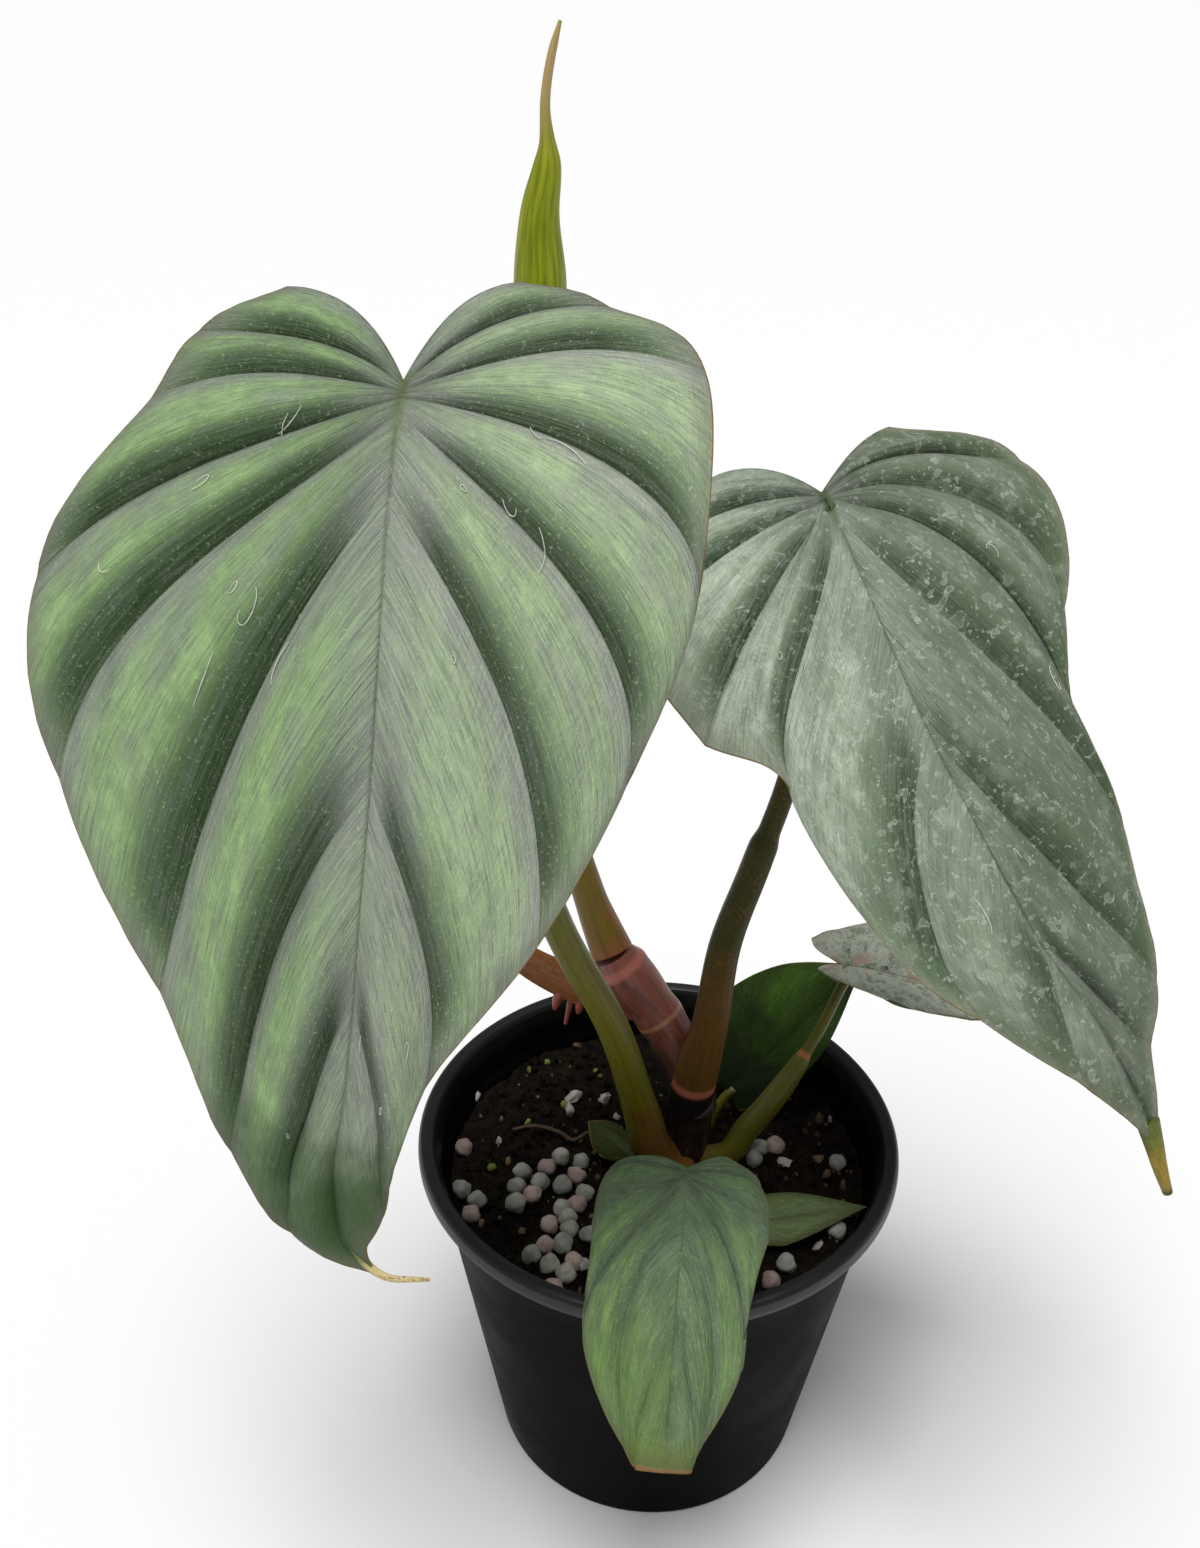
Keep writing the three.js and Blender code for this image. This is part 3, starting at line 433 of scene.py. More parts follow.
def smoothstep(value, low, high):
    t = np.clip((value - low) / (high - low), 0, 1)
    return t * t * (3 - 2 * t)


def unit(vectors):
    return vectors / np.linalg.norm(vectors, axis=-1, keepdims=True)


def directions(leaf, along):
    """Which way the midrib runs at each place along it"""
    down = np.radians(eased(leaf["slope"], along))
    turn = np.radians(eased(leaf["heading"], along))
    return np.stack([np.cos(down) * np.cos(turn), np.cos(down) * np.sin(turn), -np.sin(down)], axis=-1)


def bent_blade(leaf):
    """Returns a function from millimetres across, along and above the blade to points in space."""
    places = np.arange(MIDRIB_START, MIDRIB_END + MIDRIB_STEP, MIDRIB_STEP)
    steps = directions(leaf, (places[1:] + places[:-1]) / 2) * MIDRIB_STEP
    line = np.vstack([[0, 0, 0], np.cumsum(steps, axis=0)])
    line += np.array(leaf["at"]) - line[np.searchsorted(places, 0)]

    def point(across, along, lift):
        middle = np.stack([np.interp(along, places, line[:, k]) for k in range(3)], axis=-1)
        forward = directions(leaf, along)
        turn = np.radians(eased(leaf["heading"], along))
        level = np.stack([-np.sin(turn), np.cos(turn), 0 * turn], axis=-1)
        roll = math.radians(leaf["roll"])
        side = level * math.cos(roll) + np.cross(forward, level) * math.sin(roll)
        normal = np.cross(forward, side)
        half = (across > 0).astype(int)
        reach = np.abs(across)
        fold = np.radians(np.array(leaf["fold"]))[half]
        curl = np.radians(np.array(leaf["curl"]))[half]
        outward = (np.sin(fold + curl * reach) - np.sin(fold)) / curl
        drop = (np.cos(fold) - np.cos(fold + curl * reach)) / curl
        return middle + side * (np.sign(across) * outward)[..., None] + normal * (lift - drop)[..., None]

    return point


def vein_point(leaf, veins, side, vein, out):
    """Flat place of a point: vein is a fractional vein number, out runs from midrib to margin."""
    start = between(leaf["starts"], vein)
    across, along, leave, arrive = (between([row[k] for row in veins], vein) for k in range(4))
    panel = np.minimum(np.floor(vein), len(veins) - 2).astype(int)
    bulge = np.array([row[4] if len(row) > 4 else 0 for row in veins], float)[panel]
    across = across + bulge * 4 * (vein - panel) * (1 - vein + panel)
    leave, arrive = np.radians(leave), np.radians(arrive)
    pull = VEIN_PULL * np.hypot(across, along - start)
    rest = 1 - out
    w0, w1, w2, w3 = rest ** 3, 3 * rest * rest * out, 3 * rest * out * out, out ** 3
    x = w1 * pull * np.sin(leave) + w2 * (across - pull * np.sin(arrive)) + w3 * across
    y = w0 * start + w1 * (start + pull * np.cos(leave)) + w2 * (along - pull * np.cos(arrive)) + w3 * along
    x = np.maximum(x, 0)
    return side * x + eased(leaf["sway"], y), y, x


def quilting(leaf, veins, side, vein, out, from_midrib):
    """Height of the panels between the sunken veins, and how wide each point's panel is there."""
    panel = np.minimum(np.floor(vein), len(veins) - 2)
    lower = vein_point(leaf, veins, side, panel, out)
    upper = vein_point(leaf, veins, side, panel + 1, out)
    width = np.hypot(upper[0] - lower[0], upper[1] - lower[1])
    across_panel = vein - panel
    swell = 1 - np.abs(2 * across_panel ** SKEW - 1) ** 2.2
    away = np.minimum(from_midrib / (0.35 * width + 1), 1)
    away = away * (2 - away)
    height = leaf["quilt"] * width / (1 + width / WIDE_PANEL)
    fade = 1 - MARGIN_FADE * smoothstep(out, 0.55, 1)
    wave = np.cos(2 * math.pi * RIPPLES * across_panel + 0.6 * np.sin(9 * out))
    return (height * swell + RIPPLE * width * wave * swell) * away * fade, width


def sheet(leaf):
    """One fine welded sheet for the whole blade: points, quads and what each point knows about its place."""
    bent = bent_blade(leaf)
    per_panel, out_steps = leaf["grid"]
    points, quads, facts = [], [], []
    for veins, side in ((leaf["left"], -1), (leaf["right"], 1)):
        columns = (len(veins) - 1) * per_panel
        grid = np.arange(columns + 1) / per_panel, np.arange(out_steps + 1) / out_steps
        vein, out = np.meshgrid(*grid, indexing="ij")
        x, y, from_midrib = vein_point(leaf, veins, side, vein, out)
        height, width = quilting(leaf, veins, side, vein, out, from_midrib)
        first = sum(len(p) for p in points)
        points.append(bent(x, y, height).reshape(-1, 3))
        ends = vein_point(leaf, veins, side, vein, np.ones_like(out))
        to_margin = np.hypot(x - ends[0], y - ends[1])
        near_vein = np.abs(vein - np.round(vein)) * width
        known = [vein, out, to_margin, from_midrib, y, near_vein, np.full_like(x, float(side))]
        facts.append(np.stack(known, -1).reshape(-1, len(known)))
        i, j = np.meshgrid(np.arange(columns), np.arange(out_steps), indexing="ij")
        corner = first + i * (out_steps + 1) + j
        beside = corner + out_steps + 1
        quad = np.stack([corner, beside, beside + 1, corner + 1], -1).reshape(-1, 4)
        quads.append(quad if side > 0 else quad[:, ::-1])
    points, quads, facts = np.vstack(points), np.vstack(quads), np.vstack(facts)
    _, keep, merged = np.unique(np.round(points / WELD), axis=0, return_index=True, return_inverse=True)
    quads = merged.reshape(-1)[quads]
    whole = np.all(np.sort(quads, 1)[:, 1:] != np.sort(quads, 1)[:, :-1], axis=1)
    return points[keep], quads[whole], facts[keep]


def vertex_normals(points, quads):
    cross = np.cross(points[quads[:, 2]] - points[quads[:, 0]], points[quads[:, 3]] - points[quads[:, 1]])
    normals = np.zeros_like(points)
    for k in range(4):
        np.add.at(normals, quads[:, k], cross)
    return unit(normals + 1e-12)


def border_edges(quads):
    """The edges that only one quad has"""
    edges = np.vstack([quads[:, [k, (k + 1) % 4]] for k in range(4)])
    _, inverse, count = np.unique(np.sort(edges, 1), axis=0, return_inverse=True, return_counts=True)
    return edges[count[inverse.reshape(-1)] == 1]


def mesh_object(name, points, faces, facts=None, smooth_angle=50):
    """A smooth-shaded object from points in millimetres, faces, and named numbers for each point."""
    mesh = bpy.data.meshes.new(name)
    mesh.from_pydata((np.asarray(points) * MM).tolist(), [], [list(map(int, face)) for face in faces])
    for fact, values in (facts or {}).items():
        attribute = mesh.attributes.new(fact, "FLOAT", "POINT")
        attribute.data.foreach_set("value", np.asarray(values, np.float32))
    mesh.polygons.foreach_set("use_smooth", [True] * len(mesh.polygons))
    mesh.set_sharp_from_angle(angle=math.radians(smooth_angle))
    mesh.validate()
    piece = bpy.data.objects.new(name, mesh)
    bpy.context.collection.objects.link(piece)
    return piece


def dress(piece, slot, material, *nodes):
    """Gives a piece its material, hangs it from the root, and hides the imported solids that it stands for. The
    slot is not used.
    """
    piece.data.materials.append(material)
    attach(piece, "root")
    if nodes:
        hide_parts(*nodes)


def turns(count):
    """Angles of so many even steps around a circle"""
    return 2 * math.pi * np.arange(count) / count


def level_ring(turn, radius, z):
    return np.stack([radius * np.cos(turn), radius * np.sin(turn), np.full(len(turn), z)], -1)


def wall_faces(rings, sides):
    """Quads between closed rings of points that follow one another."""
    i, k = np.meshgrid(np.arange(rings), np.arange(sides), indexing="ij")
    a, b = i * sides + k, i * sides + (k + 1) % sides
    return np.stack([a, b, b + sides, a + sides], axis=-1).reshape(-1, 4)


def fan(centre, ring, sides):
    """Triangles from a centre point to a closed ring of points."""
    return [(centre, ring + k, ring + (k + 1) % sides) for k in range(sides)]


def tube(part, sides, steps):
    """Points, faces and share of length of a closed stalk along a middle line."""
    path = np.array(part["path"], float)
    gaps = np.sqrt(np.linalg.norm(np.diff(path, axis=0), axis=1))
    knots = np.concatenate([[0], np.cumsum(gaps)])
    fine = np.linspace(0, knots[-1], 40 * len(path))
    dense = np.stack([curve(knots, row, np.gradient(row, knots), fine) for row in path.T], axis=-1)
    walked = np.concatenate([[0], np.cumsum(np.linalg.norm(np.diff(dense, axis=0), axis=1))])
    share = np.linspace(0, 1, steps + 1)
    centre = np.stack([np.interp(share * walked[-1], walked, dense[:, k]) for k in range(3)], axis=-1)
    along = unit(np.gradient(centre, axis=0))
    wide = eased(part["wide"], share)
    thick = eased(part.get("thick", part["wide"]), share)
    turn = turns(sides)
    across = np.array([1.0, 0, 0])
    rings = []
    for i in range(steps + 1):
        through = unit(np.cross(along[i], across))
        across = unit(np.cross(through, along[i]))
        flat = np.outer(np.cos(turn) * wide[i], across) + np.outer(np.sin(turn) * thick[i], through)
        rings.append(centre[i] + flat)
    points = np.vstack(rings + [centre[:1], centre[-1:]])
    first, last = len(points) - 2, len(points) - 1
    faces = wall_faces(steps, sides).tolist() + [(a, c, b) for a, b, c in fan(first, 0, sides)]
    faces += fan(last, steps * sides, sides)
    shares = np.concatenate([np.repeat(share, sides), [0, 1]])
    around = np.concatenate([np.tile(np.arange(sides) / sides, steps + 1), [0, 0]])
    return points, faces, {"share": shares, "around": around}


def across_veins(g, across, along, detail, roughness):
    """Noise drawn out along the veins of a blade"""
    return g.drawn_out(("vein", "out"), (across, along), detail, roughness, g.fact("side"))


def by_half(g, pair):
    """One value for the left half of a blade, and another for the right"""
    return g.span(g.span(g.fact("side"), -0.5, 0.5), 0, 1, *pair)


def paint_panels(g, tones, look, lines):
    """Each panel between two veins runs from grey through mottled green to painted shade: darker green low in
    the panel, then a dark flank.
    """
    margin, midrib = g.fact("margin"), g.fact("midrib")
    panel = g.add("ShaderNodeMath", {0: g.fact("vein")}, operation="FRACT").outputs[0]
    clouds = across_veins(g, 2.6, 5, 3, 0.55)
    middle = g.times(g.span(panel, 0.05, 0.3), g.span(panel, 0.6, 0.8, 1, 0))
    g.paint(g.times(middle, g.span(clouds, 0.3, 0.55, 0.35, 1)), tones["green"])
    mottle = g.noise(MOTTLE_SCALE, 4, 0.65)
    patches = g.plus(g.times(clouds, 0.4), g.times(mottle, 0.3), g.times(lines, 0.3))
    outward = g.times(g.span(midrib, 3, 14), g.span(margin, 1, 9, 0.35, 1))
    g.paint(g.times(g.span(patches, 0.46, 0.6), middle, outward, look["glow"]), tones["bright"])
    # Painted light: one half of the blade is lightened towards a paler grey
    g.paint(by_half(g, look["painted_light"]), tones["painted_light"])
    # Painted shade: darker green over the lower part of each panel, where it turns down from the light
    g.paint(g.times(g.span(panel, 0.5, 0.75), outward, look["panel_shade"]), tones["panel_shade"])
    g.paint(g.times(g.span(midrib, 1.5, 11, 1, 0), 0.7), tones["grey"])
    # Painted shade: the dark flank that falls to the next vein, fading near the margin and the midrib
    flank_shade = g.times(g.span(panel, by_half(g, look["flank_shade"]), 0.9), g.span(margin, 0, 15, 0.15, 1))
    flank_shade = g.times(flank_shade, g.span(g.fact("out"), 0.02, 0.2, 0.1, 1))
    flank_shade = g.times(flank_shade, g.times(by_half(g, look["depth"]), g.span(lines, 0.3, 0.7, 1, 0.8)))
    g.paint(flank_shade, tones["flank_shade"])
    return flank_shade


def paint_lines(g, tones, look, lines, fine_lines, flank_shade):
    """Dark and light lines along the veins, painted glints, painted shade in the vein and midrib grooves, and
    the pale knuckle over the stalk
    """
    midrib = g.fact("midrib")
    g.paint(g.times(g.span(lines, 0.46, 0.66), 0.42), tones["streak"])
    g.paint(g.times(g.span(fine_lines, 0.5, 0.66), look["fine"]), tones["streak"])
    light_lines = g.times(g.span(fine_lines, 0.3, 0.46, 1, 0), g.span(flank_shade, 0, 0.8, 1, 0.15))
    g.paint(g.times(light_lines, 0.8 * look["fine"]), tones["bright"])
    # Painted shade in the sunken vein grooves and the midrib groove
    veins = g.span(g.fact("near_vein"), 0, 0.6, look["groove_shade"], 0)
    veins = g.times(veins, g.span(g.fact("out"), 0.02, 0.15))
    g.paint(g.most(veins, g.span(midrib, 0.05, 0.6, look["groove_shade"], 0)), tones["flank_shade"])
    g.paint(g.times(g.span(g.noise(*GRAIN), 0.56, 0.78), 0.42), tones["glint"])
    knuckle = g.span(g.fact("along"), 2, 16, look["knuckle"], 0)
    g.paint(g.times(g.span(midrib, 0.5, 1.3, 1, 0), knuckle), PALE)


def paint_edges(g, tones, look, lines):
    """Duller and then brown towards the margin, and pale green beneath"""
    margin = g.fact("margin")
    g.paint(g.span(margin, 0.5, 6, look["rim"], 0), tones["rim"])
    g.paint(g.span(margin, 0.15, 0.45, 0.9, 0), BROWN_EDGE)
    g.paint(g.fact("under"), g.mix(g.span(lines, 0.35, 0.7), *UNDERSIDE))


def leaf_material(name, tones, look, marks=None):
    """Satin quilted blade: its panels, its lines, the marks of this one leaf, and its edges"""
    g = Graph(name, tones["grey"])
    lines = across_veins(g, look["streaks"], 2.5, 3, 0.6)
    fine_lines = across_veins(g, 2.2 * look["streaks"], 9, 2, 0.6)
    crinkles = across_veins(g, 9, 90, 2, 0.5)
    flank_shade = paint_panels(g, tones, look, lines)
    paint_lines(g, tones, look, lines, fine_lines, flank_shade)
    if marks:
        marks(g)
    paint_edges(g, tones, look, lines)
    relief = g.plus(g.times(lines, 0.5), g.times(crinkles, 0.35), g.times(fine_lines, 0.45))
    normal = g.bump(g.noise(*GRAIN), 0.06, 0.6, g.bump(relief, 0.6))
    rough = g.span(lines, 0.3, 0.7, look["roughness"] - 0.05, look["roughness"] + 0.07)
    return g.finish(g.plus(rough, g.times(g.fact("under"), 0.15)), normal, look["shine"])


def shade_across(g, start, end, amount, dark):
    """Darkens a blade by more and more from start to end, in millimetres across from left to right."""
    across = g.times(g.fact("side"), g.fact("midrib"))
    g.paint(g.span(across, start, end, *amount), dark)


def vein_patches(g, strength, dark):
    """Darker patches drawn out along the veins"""
    g.paint(g.span(across_veins(g, 3.2, 4.5, 4, 0.65), 0.44, 0.6, 0, strength), dark)


def ragged(g, scale, reach):
    """Millimetres along a blade, with a ragged edge of so much reach"""
    return g.plus(g.fact("along"), g.span(g.noise(scale), 0.3, 0.7, -reach, reach))


def low_green(g):
    """The left half gets a little painted shade, and the low end of the blade is a saturated dark green"""
    # Painted shade on the left half
    shade_across(g, -12, 8, (0.2, 0), (0.04, 0.1, 0.015))
    vein_patches(g, 0.1, (0.06, 0.1, 0.04))
    g.paint(g.span(ragged(g, 60, 8), 112, 136, 0, 0.85), (0.03, 0.08, 0.01))


def water_marks(g):
    """Painted shade over all but the far left, most on the right half; darker further down, green at the edge,
    with whitish film and the small rims of dried drops
    """
    along = g.fact("along")
    # Painted shade, growing from the far left to the midrib and more on the right half
    shade_across(g, -26, -3, (0, 0.45), (0.07, 0.1, 0.055))
    shade_across(g, -6, 8, (0, 0.45), (0.06, 0.08, 0.045))
    g.paint(g.span(along, 20, 75, 0, 0.3), (0.08, 0.115, 0.06))
    vein_patches(g, 0.3, (0.05, 0.08, 0.045))
    green_part = g.most(g.span(g.fact("side"), -0.5, 0.5), g.span(along, 55, 85))
    g.paint(g.times(g.span(g.fact("margin"), 2, 14, 0.6, 0), green_part), (0.055, 0.105, 0.03))
    g.paint(g.span(along, 112, 134, 0, 0.75), (0.06, 0.11, 0.025))
    film = g.span(g.noise(160, 5, 0.7), 0.5, 0.7)
    g.paint(g.times(film, 0.25), (0.42, 0.47, 0.38))
    for scale, level, strength in ((260, 0.65, 0.35), (560, 0.64, 0.55), (1100, 0.65, 0.7)):
        drops = g.noise(scale, 1.5, 0.45)
        rim = g.span(g.apart(drops, level), 0.002, 0.02, 1, 0)
        inside = g.span(drops, level, level + 0.02, 0, 0.35)
        chosen = g.span(g.noise(0.4 * scale, 2), 0.46, 0.58, 0, strength)
        g.paint(g.times(g.most(rim, inside), chosen), (0.6, 0.66, 0.56))


def scars(g):
    """Painted shade in wrinkles all over, and pinkish scabs and dark holes along the midrib"""
    patches = g.noise(300, 4, 0.7)
    wrinkle_shade = g.span(g.noise(420, 5, 0.75), 0.5, 0.62)
    # Painted shade: dark lines where the blade is wrinkled
    g.paint(g.times(wrinkle_shade, 0.6), (0.12, 0.15, 0.1))
    close = g.span(g.fact("midrib"), 1, 7, 1, 0.1)
    g.paint(g.times(g.span(patches, 0.52, 0.6), close, 0.9), (0.68, 0.48, 0.38))
    g.paint(g.times(g.span(patches, 0.34, 0.42, 1, 0), close, 0.85), (0.015, 0.02, 0.008))


def cut_tip(g):
    """Darker towards the stalk, yellowish low down, with brown callus along the cut end"""
    along = g.fact("along")
    g.paint(g.span(along, 2, 26, 0.5, 0), (0.045, 0.075, 0.045))
    vein_patches(g, 0.3, (0.035, 0.07, 0.035))
    lower_left = g.times(g.span(g.fact("side"), -0.5, 0.5, 1, 0.25), g.span(along, 18, 44))
    g.paint(g.times(lower_left, 0.4), (0.16, 0.27, 0.05))
    g.paint(g.span(along, 49, 56, 0, 0.7), (0.17, 0.22, 0.03))
    g.paint(g.span(along, 56.5, 57.1), (0.45, 0.19, 0.08))


def painted_shadow_foot(g):
    """Bright green near the tip, with a painted shadow that makes it nearly black towards the stalk"""
    g.paint(g.span(ragged(g, 90, 5), 8, 24, 0.85, 0), (0.006, 0.011, 0.004))


def stalk_material(name, low, high, turn=(0.08, 0.22), fleck=RUST, shine=0.3, foot=None, rings=()):
    """Smooth stalk: one colour low down turns to another, with lengthwise lines, rust and coloured rings."""
    g = Graph(name, low)
    share = g.fact("share")
    wander = g.plus(share, g.span(g.noise(90), 0.3, 0.7, -0.05, 0.05))
    g.paint(g.span(wander, *turn), high)
    lines = g.drawn_out(("around", "share"), (26, 5))
    g.paint(g.times(g.span(lines, 0.45, 0.7), 0.5), scaled(low, 0.4))
    flecks = g.span(g.noise(1500, 3, 0.6), 0.52, 0.62)
    crowded = g.span(g.noise(160, 2), 0.38, 0.62, 0.1, 0.75)
    g.paint(g.times(flecks, crowded), fleck)
    if foot:
        top, dark = foot
        g.color = g.mix(g.span(share, top - 0.006, top + 0.004), dark, g.color)
    for centre, width, ring in rings:
        g.paint(g.span(g.apart(share, centre), 0.2 * width, width, 0.85, 0), ring)
    normal = g.bump(g.plus(lines, g.times(flecks, 0.3)), 0.15, 0.7)
    return g.finish(g.span(lines, 0.2, 0.8, 0.3, 0.48), normal, shine)


def pot_material():
    """Black moulded plastic, satin, shinier at the rim, with dust and faint turning lines"""
    g = Graph("pot", (0.002, 0.002, 0.002))
    height = g.add("ShaderNodeSeparateXYZ", {"Vector": g.place()}).outputs["Z"]
    bands = g.noise(900, 2, at=g.vector(0, 0, height))
    cloud = g.noise(45, 4, 0.6)
    dust = g.times(g.span(g.noise(1100, 3, 0.7), 0.64, 0.74), g.span(cloud, 0.4, 0.65))
    g.paint(g.span(cloud, 0.4, 0.7), (0.004, 0.0037, 0.0035))
    g.paint(g.times(dust, 0.3), (0.05, 0.045, 0.04))
    normal = g.bump(g.noise(700, 2), 0.03, 0.5, g.bump(bands, 0.05, 0.5))
    rim = g.span(height, 0.078, 0.083, 0.015, 0.45)
    return g.finish(g.span(cloud, 0.3, 0.7, 0.36, 0.5), normal, rim)


def soil_material():
    """Damp dark peat with a little green on it"""
    g = Graph("soil", (0.003, 0.002, 0.0015))
    crumbs = g.noise(420, 6, 0.7)
    g.paint(g.span(crumbs, 0.35, 0.7), (0.018, 0.011, 0.007))
    g.paint(g.times(g.span(g.noise(130, 4, 0.6), 0.6, 0.7), 0.5), (0.02, 0.022, 0.006))
    return g.finish(g.span(crumbs, 0.3, 0.7, 0.75, 0.95), g.bump(crumbs, 1.2), 0.1)


def speckled_material(name, pale, dark):
    """Matte grainy bits, such as feed pellets and perlite"""
    g = Graph(name, pale)
    grain = g.noise(600, 4, 0.7)
    g.paint(g.span(g.noise(90, 2), 0.35, 0.65), dark)
    g.paint(g.times(g.span(grain, 0.5, 0.72), 0.6), scaled(dark, 0.4))
    return g.finish(0.75, g.bump(grain, 0.25, 0.8), 0.3)


def new_leaf_material():
    """Yellow-green rolled leaf that turns tan towards its point"""
    g = Graph("new_leaf", (0.32, 0.36, 0.015))
    lines = g.drawn_out(("around", "share"), (30, 6), 4)
    g.paint(g.span(lines, 0.35, 0.7), (0.16, 0.2, 0.006))
    g.paint(g.span(g.fact("share"), 0.74, 0.9), (0.5, 0.36, 0.15))
    return g.finish(0.42, g.bump(lines, 0.25, 0.8), 0.2)


def build_blade(name, material):
    """The closed fine blade, with a raised midrib and veins beneath"""
    leaf = LEAVES[name]
    points, quads, facts = sheet(leaf)
    known = dict(zip(("vein", "out", "margin", "midrib", "along", "near_vein", "side"), facts.T))
    normals = vertex_normals(points, quads)
    half = np.interp(known["margin"], [0, 3], [MARGIN_BLADE, BLADE]) / 2
    length = max(row[1] for row in leaf["left"])
    slim = np.clip(1 - known["along"] / length, 0.15, 1)
    ribs = MIDRIB_HEIGHT * slim * np.exp(-(known["midrib"] / (MIDRIB_WIDTH * slim)) ** 2)
    ribs += VEIN_HEIGHT * np.exp(-(known["near_vein"] / VEIN_WIDTH) ** 2) * (1 - known["out"])
    top = points + normals * half[:, None]
    bottom = points - normals * (half + ribs * np.minimum(known["margin"] / 3, 1))[:, None]
    count = len(points)
    faces = quads.tolist() + (quads[:, ::-1] + count).tolist()
    faces += [(b, a, a + count, b + count) for a, b in border_edges(quads)]
    known = {fact: np.concatenate([values, values]) for fact, values in known.items()}
    known["under"] = np.repeat([0.0, 1.0], count)
    dress(mesh_object(name, np.vstack([top, bottom]), faces, known), name, material, name)


def build_drip(name, material):
    """The thin drip tip at the end of a blade"""
    leaf = LEAVES[name]
    path = np.array(leaf["drip"]["path"], float)
    line = bent_blade(leaf)(path[:, 0], path[:, 1], np.zeros(len(path)))
    thick, thin = leaf["drip"]["thick"], leaf["drip"]["thin"]
    part = {"path": line, "wide": [(0, thick), (1, thin)], "thick": [(0, thick * 0.6), (1, thin)]}
    dress(mesh_object(name + "_drip_tip", *tube(part, 16, 24)), name, material)


def build_lint(name, count, seed):
    """Fine curly fibres that lie on a blade"""
    leaf = LEAVES[name]
    bent = bent_blade(leaf)
    generator = random.Random(seed)
    fibres = []
    for _ in range(count):
        side = generator.choice((-1, 1))
        veins = leaf["left"] if side < 0 else leaf["right"]
        vein, out = generator.uniform(2.5, len(veins) - 2), generator.uniform(0.15, 0.75)
        length, turn, coil = (generator.uniform(*ends) for ends in ((2, 6.5), (0, 2 * math.pi), (-6, 6)))
        t = np.linspace(0, 1, 16)
        angle = turn + coil * t ** 1.5
        across, down = (np.cumsum(way(angle)) * length / len(t) for way in (np.cos, np.sin))
        _, width = quilting(leaf, veins, side, np.array([vein]), np.array([out]), np.array([10.0]))
        vein = np.clip(vein + across / width[0], 0, len(veins) - 1.001)
        out = np.clip(out + down / VEIN_LENGTH, 0.02, 0.98)
        x, y, from_midrib = vein_point(leaf, veins, side, vein, out)
        height, _ = quilting(leaf, veins, side, vein, out, from_midrib)
        line = bent(x, y, height + BLADE / 2 + LINT_LIFT)
        fibres.append(tube({"path": line, "wide": LINT_THICKNESS}, 5, 40)[:2])
    strew(name + "_lint", fibres, (0.8, 0.8, 0.74), (0.6, 0.6, 0.54), name)


def build_stalk(name, part, material, slot, sides=32, steps=140, leaf=None, nodes=None):
    """A stalk; where it carries a leaf, it ends flat just under that leaf's blade."""
    points, faces, facts = tube(part, sides, steps)
    if leaf:
        spot = np.array([0.0]), np.array([STALK_END])
        centre, under = (bent_blade(leaf)(*spot, np.array([lift]))[0] for lift in (0, -UNDER_BLADE))
        down = unit(under - centre)
        points = points - np.outer(np.minimum((points - under) @ down, 0), down)
    dress(mesh_object(name, points, faces, facts), slot, material, *((name,) if nodes is None else nodes))


def rounded(profile, radius=0.25, cuts=3):
    """Rounds the corners of a lathe profile a little."""
    points = np.array(profile, float)
    out = [points[0]]
    for before, corner, after in zip(points[:-2], points[1:-1], points[2:]):
        near = corner + (before - corner) * min(radius / np.linalg.norm(before - corner), 0.4)
        far = corner + (after - corner) * min(radius / np.linalg.norm(after - corner), 0.4)
        for t in np.linspace(0, 1, cuts + 1):
            out.append((1 - t) ** 2 * near + 2 * t * (1 - t) * corner + t * t * far)
    return out + [points[-1]]


def pot_radius(z):
    """Outer radius of the pot's wall at a height"""
    return BASE_RADIUS + (RIM_RADIUS - LIP_WIDTH - BASE_RADIUS) * z / POT_HEIGHT


def build_pot():
    """Pot wall with its rolled lip, and a floor with drain holes"""
    top, lip_foot, step_foot = POT_HEIGHT, POT_HEIGHT - LIP_DEPTH, POT_HEIGHT - STEP_DEPTH
    lip, step, low = pot_radius(lip_foot), pot_radius(step_foot), pot_radius(FLOOR)
    inside = RIM_RADIUS - LIP_WIDTH
    profile = [
        (BASE_RADIUS - 4, 0.01), (BASE_RADIUS - 1.2, 0), (BASE_RADIUS - 0.3, 0.4), (BASE_RADIUS, 1.4),
        (step - 0.4, step_foot), (step + 0.6, step_foot + 1), (lip + 0.5, lip_foot - 0.8),
        (RIM_RADIUS - 0.9, lip_foot), (RIM_RADIUS - 0.1, lip_foot + 0.9), (RIM_RADIUS, lip_foot + 2),
        (RIM_RADIUS - 0.2, top - 1), (RIM_RADIUS - 0.8, top - 0.2), (RIM_RADIUS - 1.6, top),
        (inside - 0.6, top - 0.4), (inside - 1.2, top - 1.4), (lip - WALL, lip_foot),
        (step - WALL + 0.5, step_foot + 2.6), (step - WALL - 0.5, step_foot + 1), (low - WALL, FLOOR + 1),
        (low - WALL - 1, FLOOR), (BASE_RADIUS - 4, FLOOR),
    ]
    material = pot_material()
    turn = turns(POT_SIDES)
    rings = [level_ring(turn, radius, z) for radius, z in rounded(profile)]
    wall = mesh_object("pot_wall", np.vstack(rings), wall_faces(len(rings) - 1, POT_SIDES), smooth_angle=35)
    dress(wall, "pot", material, "pot")
    floor = mesh_object("pot_floor", *pierced_disc(BASE_RADIUS - 4, FLOOR), smooth_angle=30)
    dress(floor, "pot", material)


def taken_from(shape):
    """Points and faces of a finished shape, which is then freed"""
    shape.verts.index_update()
    points = np.array([tuple(v.co) for v in shape.verts])
    faces = [[v.index for v in face.verts] for face in shape.faces]
    shape.free()
    return points, faces


